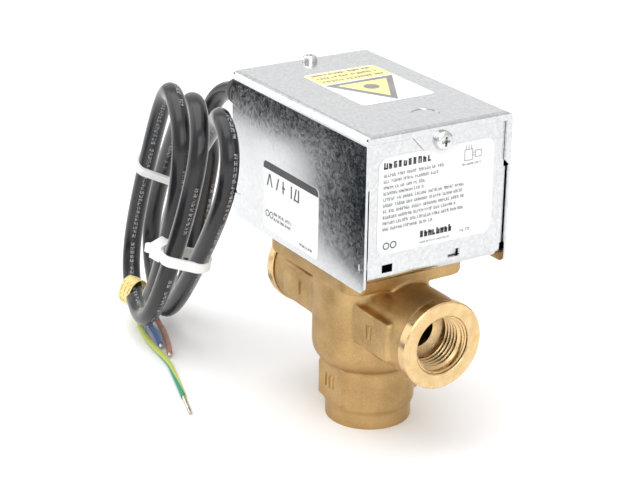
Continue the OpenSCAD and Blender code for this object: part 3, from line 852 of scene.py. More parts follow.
def rounded_block(name, low, high, bevel, slots=()):
    """A small moulded block with bevelled edges and slots cut through it, built at the origin."""
    block = loose(name, lambda bm: add_box(bm, low, high))
    for box in slots:
        cut(block, lambda bm: add_box(bm, *box))
    edge = block.modifiers.new("edge", "BEVEL")
    edge.width = bevel * MM
    edge.segments = 3
    edge.limit_method = "ANGLE"
    return baked(block)


def placed(obj, origin, x, y, z):
    """Moves a mesh built at the origin so that its axes lie along x, y and z."""
    turn = Matrix((x, y, z)).transposed().to_4x4()
    obj.data.transform(Matrix.Translation(Vector(np.array(origin) * MM)) @ turn)
    return obj


def make_tail(name, seat, away, along, normal, bend):
    """The strap's free end, standing up out of the head and bending over."""
    rail = np.array([
        seat + away * (1.0 + 6.5 * s) + along * (0.2 + bend * math.sin(1.6 * s) * s)
        for s in np.linspace(0, 1, 24)
    ])
    section = [
        (-2.1, -0.55), (2.1, -0.55), (2.25, -0.4), (2.25, 0.4),
        (2.1, 0.55), (-2.1, 0.55), (-2.25, 0.4), (-2.25, -0.4),
    ]
    points = []
    for i, (p, out) in enumerate(zip(rail, np.cross(unit(np.gradient(rail, axis=0)), normal))):
        narrow = 1 - 0.25 * max(0, i - 20) / 3
        points += [p + normal * w * narrow + out * d for w, d in section]
    faces = ring_faces(len(rail), len(section)) + end_faces(len(rail), len(section))
    return outward(piece(name, points, faces, "tie", slot="white_nylon"))


def make_tie(name, node, centre, normal, reach, head_at, tail, teeth):
    """A cable tie pulled round the runs of the lead that cross its plane, with its head near head_at."""
    normal, u, v = plane_axes(normal)
    centre = np.array(centre, float)
    circle = [(math.cos(a), math.sin(a)) for a in np.linspace(0, 2 * math.pi, 40, endpoint=False)]
    spots = [((p - centre) @ u, (p - centre) @ v) for p in crossings(centre, normal, reach)]
    around = hull([(x + (LEAD_R + 0.35) * c, y + (LEAD_R + 0.35) * s) for x, y in spots for c, s in circle])
    outline = even_loop(around, 0.42)
    points, faces, out = strap_mesh(outline, centre, normal, u, v, 4.5, 1.25, teeth)
    strap = outward(piece(name + "_strap", points, faces, "tie", slot="white_nylon"))
    head_at = np.array(head_at, float) - centre
    spot = np.array([head_at @ u, head_at @ v])
    k = int(np.argmin(np.linalg.norm(outline - spot, axis=1)))
    away = u * out[k][0] + v * out[k][1]
    along = np.cross(normal, away)
    seat = centre + u * outline[k][0] + v * outline[k][1]
    # head: x along the strap, y along the normal, z outwards
    head = rounded_block(
        name + "_head", (-3.6, -3.7, -0.1), (3.6, 3.7, 4.9), 0.7,
        [((-1.0, -2.4, -1), (0.9, 2.4, 9))],
    )
    lug = rounded_block("lug", (-5.2, -2.6, 0.2), (-2.9, 2.6, 2.6), 0.5)
    combine(head, lug, "UNION")
    placed(head, seat, along, normal, away)
    finish_piece(head, "tie", slot="white_nylon")
    pieces = [strap, head]
    if tail:
        pieces.append(make_tail(name + "_tail", seat, away, along, normal, tail))
    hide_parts(node)
    return pieces


def make_tag():
    """A loose wrap of printed tape round one run near the foot of the hank, its end lapped over."""
    low, high = span("wire_tag")
    at = int(np.argmin(np.linalg.norm(LEAD - (low + high) / 2 - (3, 0, 0), axis=1)))
    normal, u, v = plane_axes((0.93, 0.3, -0.2))
    centre = LEAD[at] + (-0.5, 0, -1.2)
    turns = np.linspace(0, 2 * math.pi * 1.12, 96)
    points, uv = [], []
    for a in turns:
        r = 6.2 + 0.35 * max(0, a - 2 * math.pi) / 0.7 + 0.18 * math.sin(2 * a + 0.6)
        out = u * math.cos(a) + v * math.sin(a) * 0.94
        for w, d in ((-2.9, 0), (2.9, 0), (2.9, 0.28), (-2.9, 0.28)):
            points.append(centre + out * (r + d) + normal * (w + 0.35 * math.sin(a)))
    for a, b in zip(turns, turns[1:]):
        x0, x1 = a / 6.3, b / 6.3
        for y0, y1 in ((0, 1), (1, 1), (1, 0), (0, 0)):
            uv += [(x0, y0), (x0, y1), (x1, y1), (x1, y0)]
    faces = ring_faces(len(turns), 4)
    faces += [[0, 1, 2, 3], [4 * len(turns) - 4 + j for j in (3, 2, 1, 0)]]
    uv += [(0, 0)] * 8
    tag = outward(piece("wire_tag_wrap", points, faces, "tape", uv=uv, slot="yellow_tape"))
    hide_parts("wire_tag")
    return tag


def make_lead():
    lead = tube("mains_lead_cord", LEAD, LEAD_R, "sheath", sides=28, first=(0, 1, 0), slot="black_pvc")
    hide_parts("mains_lead", "lead_hank")
    upper = make_tie(
        "tie_upper", "tie_upper", centre=(-115, -28.1, 71.5), normal=(0.64, -0.04, 0.76), reach=20,
        head_at=(-104, -20, 72), tail=0, teeth=(),
    )
    lower = make_tie(
        "tie_lower", "tie_lower", centre=(-70, -43.5, 48.2), normal=(0.25, 0.02, 0.97), reach=11,
        head_at=(-78, -50, 49), tail=3.2, teeth=(0.0, 1.0),
    )
    tag = make_tag()


make_lead()
make_cores()
make_gland()


# ---------- brass body ----------

BODY_LOW, BODY_HIGH = span("valve_body")
REACH = {1: BODY_HIGH[0], -1: -BODY_LOW[0]}
BORE = PORT_B_DIMS["r_mm"]
FLANGE_TOP = BODY_HIGH[2]
FLANGE_LOW = FLANGE_TOP - 4.9
PLATE_LOW, PLATE_HIGH = span("bonnet_plate")
DECK = PLATE_HIGH[2]
FLOOR_IN = DECK + 1
SCREW_HOLES = [(-29, -20.5), (-29, 20.5), (20, -20.5), (20, 20.5)]
STEM_Y = 12


def add_lathe(bm, profile, axis="Z", start=(0, 0, 0), sides=96):
    """A turned solid: profile of (height, radius) whose ends lie on the axis."""
    points, faces = lathe(profile, sides=sides, turn=AXES[axis], start=start)
    verts = [bm.verts.new(p) for p in points]
    used = {}
    for face in faces:
        key = tuple(face)
        if key not in used and len(set(face)) > 2:
            used[key] = bm.faces.new([verts[i] for i in face])
    bmesh.ops.delete(bm, geom=[v for v in verts if not v.link_faces], context="VERTS")


def add_slab(bm, outline, z0, z1):
    points, faces = slab(outline, lambda u, v, w: (u, v, z0 + w), z1 - z0)
    verts = [bm.verts.new(p) for p in points]
    for face in faces:
        bm.faces.new([verts[i] for i in face])


def blank_shapes(bm):
    """The casting before machining, as overlapping closed shapes."""
    add_rod(bm, (0, 0, -1.2), "Z", 9.2, 16.5)
    add_rod(bm, (0, 0, 7), "Z", 20, 17.6)
    add_box(bm, (-8, -18, 9), (8, 18, 23.5))
    # half outline of the bowl and its collar, as (radius, height)
    bowl = [(0, 22), (14, 23)]
    bowl += arc(14, 31, 8, -80, 0)
    bowl += [(22, FLANGE_LOW - 3.4)]
    bowl += arc(25.4, FLANGE_LOW - 3.4, 3.4, 180, 90)
    bowl += [(25.4, FLANGE_LOW + 1), (0, FLANGE_LOW + 1)]
    add_lathe(bm, [(z, r) for r, z in bowl])
    for side in (1, -1):
        add_rod(bm, (0, 0, PORT_Z), "X", side * (REACH[side] - 4), 16.2)
        low, high = sorted((side * 12.5, side * 36))
        add_box(bm, (low, -17, PORT_Z - 7.5), (high, 17, PORT_Z + 7.5))
    flange = rounded_outline(PLATE_LOW[0], PLATE_LOW[1], PLATE_HIGH[0], PLATE_HIGH[1], 7)
    add_slab(bm, flange, FLANGE_LOW, FLANGE_TOP + 1.5)


def bore_profile(reach):
    return [
        (11.9, 0), (11.9, 6.5), (reach - 15.6, 6.5), (reach - 14, BORE), (reach - 1.2, BORE),
        (reach - 1.0, BORE + 0.55), (reach - 0.35, BORE + 0.7), (reach + 0.1, BORE + 1.1),
        (reach + 2, BORE + 1.2), (reach + 2, 0),
    ]


def across(side, profile, sides=96):
    """Build function of a turned solid on the cross pipe's axis: side 1 is towards port B, -1 towards A."""
    return lambda bm: add_lathe(bm, [(side * h, r) for h, r in profile], "X", (0, 0, PORT_Z), sides)


def machined(body):
    """Cuts and adds what the tools left: collars, end faces, bores, the cavity and the top face."""
    for side in (1, -1):
        end = REACH[side]
        ring = [
            (end - 4.2, 0), (end - 4.2, 16.35), (end - 3.9, 16.8),
            (end - 0.5, 16.8), (end, 16.3), (end, 0),
        ]
        combine(body, loose("collar", across(side, ring, 160)), "UNION")
        cut(body, across(side, bore_profile(end)))
    cut(body, lambda bm: add_box(bm, (-60, -60, FLANGE_TOP), (60, 60, FLANGE_TOP + 9)))
    cut(body, lambda bm: add_box(bm, (-60, -60, -9), (60, 60, 0)))
    mouth = [
        (-1, 0), (-1, BORE + 1.3), (0, BORE + 0.75), (0.6, BORE),
        (14, BORE), (15.2, 8.6), (29.5, 8.6), (29.5, 0),
    ]
    cut(body, lambda bm: add_lathe(bm, mouth))
    cavity = loose("cavity", lambda bm: add_rod(bm, (0, 0, 29), "Z", FLANGE_TOP - 28, 18.5))
    for side in (1, -1):
        cut(cavity, lambda bm: add_rod(bm, (side * 12.1, 0, PORT_Z), "X", side * 9, 10))
    combine(body, cavity, "DIFFERENCE")
    for side in (1, -1):
        cut(body, lambda bm: add_rod(bm, (side * 11, 0, PORT_Z), "X", side * 9, 6.5))
    groove = loose("groove", lambda bm: add_rod(bm, (0, 0, FLANGE_TOP - 1.3), "Z", 3, 21.6))
    cut(groove, lambda bm: add_rod(bm, (0, 0, FLANGE_TOP - 2), "Z", 5, 19.8))
    combine(body, groove, "DIFFERENCE")
    for x, y in SCREW_HOLES:
        cut(body, lambda bm: add_rod(bm, (x, y, FLANGE_LOW + 0.8), "Z", 8, 2.05, sides=32))


def make_body():
    body = loose("valve_body_cast", blank_shapes)
    voxel = body.modifiers.new("voxels", "REMESH")
    voxel.mode = "VOXEL"
    voxel.voxel_size = 0.6 * MM
    soften = body.modifiers.new("soften", "SMOOTH")
    soften.factor = 0.6
    soften.iterations = 14
    baked(body)
    machined(body)
    mesh = body.data
    finish_piece(body, "cast", slot="cast_brass", angle=28)
    for look in ("turned_x", "turned_z"):
        mesh.materials.append(LOOKS[look])
    n = len(mesh.polygons)
    at, normal = np.empty(n * 3), np.empty(n * 3)
    mesh.polygons.foreach_get("center", at)
    mesh.polygons.foreach_get("normal", normal)
    at, normal = at.reshape(-1, 3) / MM, normal.reshape(-1, 3)
    height = at[:, 2]
    off_pipe = np.hypot(at[:, 1], height - PORT_Z)
    plan = np.hypot(at[:, 0], at[:, 1])
    end = np.where(at[:, 0] > 0, REACH[1], REACH[-1])
    far = np.abs(at[:, 0])
    collars = (far > end - 4.25) & ((off_pipe > 16.3) | (far > end - 0.7))
    bores = (off_pipe < BORE + 1.3) & (far > 11.8)
    cavity = (plan < 18.7) & (height > 28.8)
    mouth = (plan < BORE + 0.9) & (height < 30)
    index = np.zeros(n, int)
    index[collars | bores] = 1
    index[(height > FLANGE_TOP - 0.02) | (height < 0.02) | mouth | (cavity & (index == 0))] = 2
    mesh.polygons.foreach_set("material_index", index)
    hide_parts("valve_body")


PITCH = 25.4 / 14


def make_thread(name, port, mouth, length, look):
    """The helical ridge of a G 1/2 female thread. mouth is the first thread's place, length runs inwards."""
    per = 72
    count = int((length / PITCH - 0.9) * per)
    root, crest, flat, base = BORE + 0.06, BORE - 1.162, 0.17, 0.84
    points = []
    for k in range(count + 1):
        a = 2 * math.pi * k / per
        fade = max(0.03, min(1, k / per * 1.6, (count - k) / per * 1.6))
        r = root - (root - crest) * fade
        h = PITCH * (0.45 + k / per)
        wide = flat + (base - flat) * (1 - fade) * 0.3
        for dh, rr in ((-base, root), (-wide, r), (wide, r), (base, root)):
            points.append((rr * math.cos(a), rr * math.sin(a), -(h + dh)))
    faces = ring_faces(count + 1, 4)
    faces += [[0, 1, 2, 3], [count * 4 + j for j in (3, 2, 1, 0)]]
    turns = {
        "B": AXES["X"],
        "A": Matrix.Rotation(-QUARTER, 4, "Y"),
        "AB": Matrix.Rotation(math.pi, 4, "X"),
    }
    move = Matrix.Translation(Vector(mouth)) @ turns[port]
    points = [tuple(move @ Vector(p)) for p in points]
    thread = outward(piece(name, points, faces, look, slot="turned_brass"))
    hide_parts("valve_body")


def raised_bars(name, place, bars):
    """Low rounded bars cast on a pad; place(u, v, w) puts them in space and w stands proud."""
    rings = [(1.12, -0.4), (1.0, 0.28), (0.86, 0.5), (0.6, 0.58)]
    parts = []
    for u0, v0, u1, v1, r in bars:
        along = math.atan2(v1 - v0, u1 - u0)
        outline = []
        for u, v, start in ((u1, v1, along - QUARTER), (u0, v0, along + QUARTER)):
            angles = np.linspace(start, start + math.pi, 9)
            outline += [(u + r * math.cos(a), v + r * math.sin(a)) for a in angles]
        cu, cv = (u0 + u1) / 2, (v0 + v1) / 2
        points = [place(cu + (u - cu) * s, cv + (v - cv) * s, w) for s, w in rings for u, v in outline]
        faces = ring_faces(len(rings), len(outline)) + end_faces(len(rings), len(outline))
        parts.append((points, faces))
    mark = outward(piece(name, *gathered(parts), "cast", slot="cast_brass"))
    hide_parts("valve_body")


def make_marks():
    """Two, one and three upright bars stand for the letters cast beside ports B, A and AB."""
    pads = {
        "b": ((24, -17, PORT_Z), (-1.3, 1.3)),
        "a": ((-24, -17, PORT_Z), (0,)),
        "ab": ((0, -18, 17), (-2.4, 0, 2.4)),
    }
    for name, ((x, y, z), bars) in pads.items():
        raised_bars(
            "mark_port_" + name, lambda u, v, w: (x + u, y - w, z + v),
            [(u, -2.3, u, 2.3, 0.5) for u in bars],
        )


# ---------- screws ----------

def add_recess_arm(bm, head_r, head_h, turn):
    """One tapering arm of a screw's cross recess, turned about the screw's axis."""
    half, reach = head_r * 0.15, head_r * 0.60
    spin = Matrix.Rotation(math.radians(turn), 4, "Z")
    signs = ((1, 1), (-1, 1), (-1, -1), (1, -1))
    corners = [(reach * s, half * t, head_h + 0.5) for s, t in signs]
    corners += [(reach * 0.45 * s, half * 0.6 * t, head_h * 0.25) for s, t in signs]
    v = [bm.verts.new(spin @ Vector(c)) for c in corners]
    for f in ((0, 1, 2, 3), (7, 6, 5, 4), (0, 4, 5, 1), (1, 5, 6, 2), (2, 6, 7, 3), (3, 7, 4, 0)):
        bm.faces.new([v[i] for i in f])


def screw(
    name, at, node, head_r, head_h, shank_r, shank_l,
    body="valve", axis="Z", look="zinc", slot="bright_steel",
):
    """Pan-head screw with a domed head, a tapered cross recess and a rolled thread. at is under the head."""
    profile = [(0, 0), (0, head_r - 0.1), (0.12, head_r), (head_h * 0.42, head_r)]
    for k in range(1, 9):
        a = QUARTER * k / 8
        dome_r = head_r * (0.62 + 0.38 * math.cos(a)) if k < 8 else 0
        profile.append((head_h * (0.42 + 0.58 * math.sin(a) ** 1.2), dome_r))
    head = loose(name, lambda bm: add_lathe(bm, profile, sides=64))
    for turn in (90, 0):
        cut(head, lambda bm: add_recess_arm(bm, head_r, head_h, turn))
    shank = [(0.2, 0), (0.2, shank_r)]
    steps = max(2, int(shank_l / 0.35))
    for k in range(steps):
        shank.append((-shank_l * (k + 0.5) / steps, shank_r * (0.86 if k % 2 else 1)))
    shank += [(-shank_l, shank_r * 0.7), (-shank_l, 0)]
    combine(head, loose("shank", lambda bm: add_lathe(bm, shank, sides=40)), "UNION")
    head.data.transform(Matrix.Translation(Vector(at) * MM) @ AXES[axis])
    finish_piece(head, look, body, slot=slot)
    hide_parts(node)
    return head


def make_screws():
    for k, (x, y) in enumerate(SCREW_HOLES):
        screw(f"bonnet_screw_{k}", (x, y, DECK - 2.4), "bonnet_screws", 3.6, 2.2, 2, 7)
    for k, (x, y) in enumerate([(-29.5, 0), (19.5, -11)]):
        screw(f"head_screw_{k}", (x, y, FLOOR_IN), "head_screws", 3.4, 2.3, 1.75, 5)
    for k, (x, y) in enumerate([(-43, -23.5), (-43, 23.5), (9, -23.5), (-3, 24.6)]):
        screw(f"plate_screw_{k}", (x, y, span("motor_plate")[1][2]), "plate_screws", 2.6, 1.6, 1.25, 7)
    for k, y in enumerate((24.5, -26.5)):
        screw(f"motor_screw_{k}", (-21, y, 93), "motor_screws", 2.1, 1.4, 1.3, 1)
    screw(
        "earth_screw_head", (30, 20, FLOOR_IN + 0.6), "earth_screw", 2.8, 1.9, 1.7, 2.2,
        look="turned_z", slot="turned_brass",
    )
    screw("cover_screw_front", (COVER_HIGH[0], 0.5, 122.3), "cover_screws", 3.5, 2.2, 1.65, 5, "cover", "X")
    screw("cover_screw_top", (-46.5, 0.5, COVER_HIGH[2]), "cover_screws", 2.9, 2.4, 1.65, 7, "cover")


# ---------- return spring, ball ----------

POST = np.array([14 * math.cos(math.radians(-20)), STEM_Y + 14 * math.sin(math.radians(-20)), 76.2])
ANCHOR = np.array([32, -12, 76.2])


def make_spring():
    """A close coil of wire with a loop at each end, round the gear's post and round the anchor."""
    pull = ANCHOR - POST
    reach = np.linalg.norm(pull)
    x = pull / reach
    z = np.array([0.0, 0, 1])
    y = np.cross(z, x)

    def at(a, b, c):
        return POST + x * a + y * b + z * c

    first = [
        at(1.75 * math.cos(a), 1.75 * math.sin(a), 0.25 * a / 6)
        for a in np.linspace(math.radians(40), math.radians(355), 40)
    ]
    coil_r, start, end = 1.6, 3.0, reach - 3.3
    turns = 26
    a = np.linspace(0, 2 * math.pi * turns, turns * 18)
    coil = [
        at(start + (end - start) * k / a[-1], coil_r * math.sin(k), coil_r * math.cos(k) * 0.98)
        for k in a
    ]
    last = [
        at(reach + 2 * math.cos(b), 2 * math.sin(b), 0.3)
        for b in np.linspace(math.radians(180), math.radians(500), 40)
    ]
    route = np.vstack([first, [at(2.2, 0.2, 0.5)], coil, [at(reach - 2.7, 0.3, 0.9)], last])
    wire = smooth_line(route[::2], 0.35)
    spring = tube("return_spring_coil", wire, 0.3, "steel", None, sides=8, slot="bright_steel")
    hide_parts("return_spring")
    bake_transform(spring)


def make_ball():
    """Rubber ball on the arm's pin, with the moulding line left round its middle."""
    low, high = span("paddle_ball")
    centre = (low + high) / 2
    r = (high - low)[2] / 2
    profile = [(r * math.cos(a), r * math.sin(a)) for a in np.linspace(math.pi - 0.235, 0.235, 61)]
    profile = [(h, q * (1 + 0.012 * math.exp(-(h / 0.22) ** 2))) for h, q in profile]
    profile += [(profile[-1][0], 1.83), (profile[0][0], 1.83)]
    points, faces = closed_lathe(profile, sides=72, start=tuple(centre))
    ball = outward(piece("paddle_ball_rubber", points, faces, "rubber", "stem", slot="rubber"))
    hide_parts("paddle_ball")


make_body()
make_thread("thread_port_b", "B", (REACH[1] - 1.2, 0, PORT_Z), 12.8, "turned_x")
make_thread("thread_port_a", "A", (-REACH[-1] + 1.2, 0, PORT_Z), 12.8, "turned_x")
make_thread("thread_port_ab", "AB", (0, 0, 0.6), 13.4, "turned_z")
make_marks()
make_screws()
make_spring()
make_ball()


# ---------- labels ----------

def glyph_rows(rng, left, right, base, height, pitch_factor=0.62, stroke=0.16, words=(2, 7)):
    """Greeked small print: upright and level strokes that can't be read."""
    thin = height * stroke
    bars, at = [], left
    while at < right:
        for _ in range(rng.randint(*words)):
            wide = height * rng.uniform(0.38, 0.58)
            if at + wide > right:
                break
            bars.append((at, base, at + thin, base + height * rng.uniform(0.7, 1)))
            if rng.random() < 0.7:
                bars.append((at + wide - thin, base, at + wide, base + height * rng.uniform(0.5, 0.8)))
            level = base + height * rng.choice((0.0, 0.4, 0.62))
            bars.append((at, level, at + wide, level + thin))
            at += height * pitch_factor
        at += height * rng.uniform(0.35, 0.6)
    return bars


def printed(name, bars, place, look, body, shapes=(), thick=0.03):
    parts = [slab([(u1, v1), (u0, v1), (u0, v0), (u1, v0)], place, thick) for u0, v0, u1, v1 in bars]
    parts += [slab(shape, place, thick) for shape in shapes]
    return outward(piece(name, *gathered(parts), look, body, smooth=False, slot="label_paper"))


def ring_shapes(cu, cv, r, wide, n=36):
    quads = []
    for k in range(n):
        a, b = 2 * math.pi * k / n, 2 * math.pi * (k + 1) / n
        corners = ((r, a), (r, b), (r - wide, b), (r - wide, a))
        quads.append([(cu + q * math.cos(t), cv + q * math.sin(t)) for q, t in corners])
    return quads


def frame_bars(u0, v0, u1, v1, t):
    level = [(u0, v0, u1, v0 + t), (u0, v1 - t, u1, v1)]
    return level + [(u0, v0 + t, u0 + t, v1 - t), (u1 - t, v0 + t, u1, v1 - t)]


def make_labels():
    rng = random.Random(7)
    low, high = span("label_front")
    x, left, wide = high[0] + 0.001, low[1], high[1] - low[1]

    def front(u, v, w):
        return (x + w, u, v)
    bold = glyph_rows(rng, left + 2.1, left + 22.7, 115.1, 2.9, 0.7, 0.22, (10, 10))
    bars = []
    for k, part in enumerate((0.56, 0.51, 0.40, 0.39, 0.75, 0.75, 0.75, 0.68, 0.74, 0.48)):
        bars += glyph_rows(rng, left + 2.2, left + wide * part, 112.2 - 2.19 * k, 1.35)
    bold += glyph_rows(rng, -6.9, 7, 87.1, 2.8, 0.62, 0.26, (9, 9))
    bars += glyph_rows(rng, -6.9, 6, 84.9, 0.8) + glyph_rows(rng, 10.4, 15.3, 85.9, 1.4)
    bars += frame_bars(11, 112.4, 14.6, 116.6, 0.22) + frame_bars(15.6, 113.2, 18.4, 115.8, 0.22)
    bars += [(14.6, 114, 15.6, 114.22), (14.6, 115, 15.6, 115.22)]
    bars += [(11.6 + 1.1 * k, 116.6, 11.8 + 1.1 * k, 118) for k in range(3)]
    bars += glyph_rows(rng, 10.2, 18.4, 110.8, 0.8)
    rings = ring_shapes(-21.2, 86.7, 1.35, 0.4) + ring_shapes(-18.2, 86.7, 1.35, 0.4)
    printed("print_front", bold, front, "ink", "valve", rings)
    printed("print_front_small", bars, front, "grey_ink", "valve")

    low, high = span("label_side")
    y = low[1] - 0.001

    def side(u, v, w):
        return (u, y - w, v)
    corner = [(2 * math.cos(a), 2 * math.sin(a)) for a in np.linspace(0, math.pi / 2, 9)]
    band = [(low[0], high[2] - 3), (high[0], high[2] - 3)]
    band += [(high[0] - 2 + c, high[2] - 2 + s) for c, s in corner]
    band += [(low[0] + 2 - c, high[2] - 2 + s) for c, s in corner[::-1]]
    base, tall, thin = high[2] - 9.4, 4.9, 0.85
    # one row of tall plain strokes: slants, uprights and a dash
    shapes = [band]
    for at, lean in ((0, 1.6), (3.4, -1.5), (6.6, 1.5), (11.4, 0), (17.2, 0), (19.2, 1.4), (22.2, 0)):
        at += low[0] + 2.4
        tip = at + lean
        shapes.append([(at, base), (at + thin, base), (at + thin + lean, base + tall), (tip, base + tall)])
    bars = [(low[0] + 13.4, base + 2, low[0] + 15.6, base + 2.6)]
    bars.append((low[0] + 22.2, base, low[0] + 25, base + 0.6))
    for up in (7.2, 5.1):
        bars += glyph_rows(rng, low[0] + 7.6, low[0] + 20.5, low[2] + up, 1.35)
    bars += glyph_rows(rng, high[0] - 12.5, high[0] - 3, low[2] + 1.6, 1.2)
    for at in (3.0, 5.9):
        shapes += ring_shapes(low[0] + at, low[2] + 6.6, 1.35, 0.4)
    printed("print_side", bars, side, "ink", "cover", shapes)

    low, high = span("label_top")
    z = high[2] + 0.001

    def top(u, v, w):
        return (u, v, z + w)
    # a yellow panel, and a dark triangle round a yellow one with a disc in it
    outer = ((-15.6, -12.2), (-15.6, 17.4), (10.4, 2.6))
    inner = ((-13.4, -8.2), (-13.4, 13.4), (5.7, 2.6))
    panel = (low[0] + 0.9, low[1] + 0.3, -16.8, high[1] - 0.3)
    printed("print_top_yellow", [panel], top, "yellow_film", "cover", [list(inner)])
    rows = []
    for x0 in (-28.6, -24.6, -20.4):
        row = glyph_rows(rng, low[1] + 2.5, high[1] - 2.5, 0, 2.1, stroke=0.2)
        rows += [(x0 + b[1], b[0], x0 + b[3], b[2]) for b in row]
    border = [[outer[k], outer[(k + 1) % 3], inner[(k + 1) % 3], inner[k]] for k in range(3)]
    round_it = np.linspace(0, 2 * math.pi, 40, endpoint=False)
    disc = [(-7 + 3 * math.cos(a), 2.6 + 3 * math.sin(a)) for a in round_it]
    printed("print_top_dark", rows, top, "grey_ink", "cover", [*border, disc], thick=0.05)


make_labels()


# ---------- CAD nodes that stay ----------

# the look of each, and the bevel on its edges in millimetres
STAY = {
    # the bonnet plate's dark brown brass is painted shade
    "bonnet_plate": ("shade_dark_brass", 0.35), "bonnet_seal": ("rubber", 0), "stem_bush": ("turned_z", 0.12),
    "stem_seals": ("rubber", 0), "stem": ("steel", 0.12), "stem_clip": ("steel", 0.1),
    "paddle_arm": ("steel", 0.2), "sector_gear": ("gear", 0.15), "drive_pinion": ("gear", 0.1),
    "spring_anchor": ("steel", 0.15), "chassis": ("galvanised", 0.12), "motor_pillars": ("zinc", 0.15),
    "motor_plate": ("galvanised", 0.2), "motor_gearcase": ("case", 0.4), "motor_can": ("steel", 0.5),
    "motor_leads": ("white_pvc", 0), "splice_caps": ("gear", 0.2), "wire_brown": ("brown_pvc", 0),
    "wire_blue": ("blue_pvc", 0), "wire_earth": ("white_pvc", 0), "earth_ring": ("copper", 0.1),
    "cover": ("galvanised", 0.25), "label_front": ("film", 0), "label_side": ("film", 0),
    "label_top": ("film", 0),
}
for node, (look, bevel) in STAY.items():
    obj = frame["nodes"][node]
    obj.data.materials.clear()
    obj.data.materials.append(LOOKS[look])
    if bevel:
        weld = obj.modifiers.new("weld", "WELD")
        weld.merge_threshold = 0.002 * MM
        flat = obj.modifiers.new("flat", "DECIMATE")
        flat.decimate_type = "DISSOLVE"
        flat.angle_limit = math.radians(0.5)
        edge = obj.modifiers.new("edge", "BEVEL")
        edge.width = bevel * MM
        edge.segments = 2
        edge.limit_method = "ANGLE"
        edge.angle_limit = math.radians(35)
        edge.harden_normals = True


def make_inside():
    """Round wires in the head in place of the plain ones, and the tab behind the front slot."""
    sheath = np.array([-41, GLAND_Y, GLAND_Z])
    wires = {
        "wire_brown": ("brown_pvc", [
            sheath + (0, 1.4, 1.2), (-34, -17, 118), (-20, -10, 120), (-4, 0, 121), (12, 10, 120),
            (23, 13, 115), (27, 12, 108), (27, 9.2, 101), (27, 9, 94)], "brown_pvc"),
        "wire_blue": ("blue_pvc", [
            sheath + (0, -1.4, 1.2), (-34, -21.5, 117), (-20, -20, 118), (-4, -18, 118), (12, -15, 116),
            (23, -12, 112), (27, -9.5, 106), (27, -7.2, 99), (27, -7, 91)], "blue_pvc"),
        "wire_earth": ("earth", [
            sheath + (0, 0, -1.4), (-34, -20.5, 113.5), (-20, -24, 114.5), (-4, -25, 113), (10, -24, 109),
            (22, -21, 102), (31, -16, 91), (34.4, -6, 82), (34, 6, 76.6), (32, 13, 75),
            (30.9, 16.4, 74.6)], "green_pvc"),
    }
    for name, (look, route, slot) in wires.items():
        wire = tube(name + "_round", smooth_line(route, 0.9), 0.9, look, sides=14, slot=slot)
        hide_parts(name)
    inner = evenly(np.array([(-59, GLAND_Y, GLAND_Z), sheath]), 1.5)
    stub = tube("sheath_inside", inner, LEAD_R, "sheath", sides=28, slot="black_pvc")
    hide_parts("mains_lead")
    tab = rounded_block("slot_tab", (37.5, 6.2, FLOOR_IN), (38.5, 10.4, 79.3), 0.2)
    finish_piece(tab, "zinc", slot="galvanised_sheet")
    # the front plate's upright edge, turned out towards the cover
    edge = rounded_block("front_plate_edge", (39.02, 28.4, 78), (39.98, 29.45, 107.5), 0.15)
    finish_piece(edge, "galvanised", slot="galvanised_sheet")


make_inside()


# ---------- studio ----------

def emitter(name, place, target, size, power, colour=(1, 1, 1)):
    data = bpy.data.lights.new(name, "AREA")
    data.shape = "RECTANGLE"
    data.size, data.size_y = size
    data.energy = power
    data.color = colour
    light = linked(name, data)
    light.location = place
    light.rotation_euler = (Vector(target) - Vector(place)).to_track_quat("-Z", "Y").to_euler()
    return light


def sheet(name, points, look):
    """A flat sheet in the studio, in metres."""
    mesh = bpy.data.meshes.new(name)
    mesh.from_pydata(points, [], [tuple(range(len(points)))])
    mesh.materials.append(look.mat)
    return linked(name, mesh)


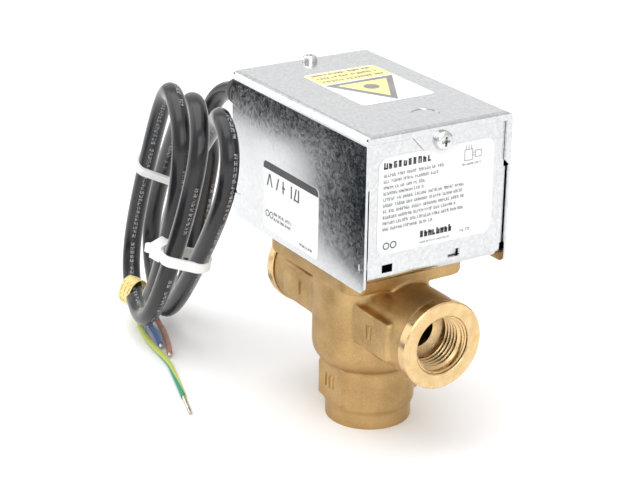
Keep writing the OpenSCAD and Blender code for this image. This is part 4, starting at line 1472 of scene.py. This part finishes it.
def make_studio():
    floor_look = Look("studio_floor", Roughness=0.9, Specular_IOR_Level=0.2)
    floor_look.colour(floor_look.blend(floor_look.noise(2, 2), (0.90, 0.90, 0.90), (0.93, 0.93, 0.93)))
    s = 4.0
    floor = sheet("studio_floor", [(-s, -s, 0), (s, -s, 0), (s, s, 0), (-s, s, 0)], floor_look)

    # a dark card on the floor, seen only in reflections
    dark = Look("studio_flag", Roughness=0.9, Specular_IOR_Level=0.0, Base_Color=(0.010, 0.013, 0.017, 1))
    flag_edge = (
        (-0.48, -0.195), (-0.27, -0.198), (-0.225, -0.175), (-0.19, -0.15), (-0.15, -0.135),
        (-0.1, -0.125), (-0.02, -0.12), (-0.02, -0.34), (-0.48, -0.34),
    )
    flag = sheet("studio_flag", [(x, y, 0.002) for x, y in flag_edge], dark)
    for ray in ("camera", "diffuse", "shadow", "transmission", "volume_scatter"):
        setattr(flag, "visible_" + ray, False)

    world = bpy.data.worlds.new("studio")
    world.use_nodes = True
    nodes, links = world.node_tree.nodes, world.node_tree.links
    where = nodes.new("ShaderNodeTexCoord")
    parts = nodes.new("ShaderNodeSeparateXYZ")
    ramp = nodes.new("ShaderNodeMapRange")
    ramp.inputs["From Min"].default_value = 0.0
    ramp.inputs["From Max"].default_value = 0.9
    ramp.inputs["To Min"].default_value = 0.6
    ramp.inputs["To Max"].default_value = 0.95
    links.new(where.outputs["Generated"], parts.inputs["Vector"])
    links.new(parts.outputs["Z"], ramp.inputs["Value"])
    links.new(ramp.outputs["Result"], nodes["Background"].inputs["Strength"])
    nodes["Background"].inputs["Color"].default_value = (1, 1, 1, 1)
    bpy.context.scene.world = world

    emitter("key_above", (-0.15, -0.25, 1.25), (0, 0, 0.05), (1.4, 1.4), 11)
    emitter("rim_left", (-0.95, -0.75, 0.55), (-0.05, 0, 0.06), (0.9, 1.2), 3)
    emitter("fill_front", (0.95, -0.35, 0.6), (0, 0, 0.06), (0.9, 0.7), 4)
    wall = emitter("wall_behind", (-1.2, 0.8, 0.62), (0, 0, 0.1), (2.0, 1.0), 1.8)
    wall.visible_camera = False
    # the sheet's mirror image of the lead, ties and cores is left out, as it would blacken half the side
    for obj in bpy.data.objects:
        if obj.name.startswith(("mains_lead_cord", "tie_", "core_")):
            obj.visible_glossy = False
    bpy.context.scene.view_settings.view_transform = "Standard"


make_studio()
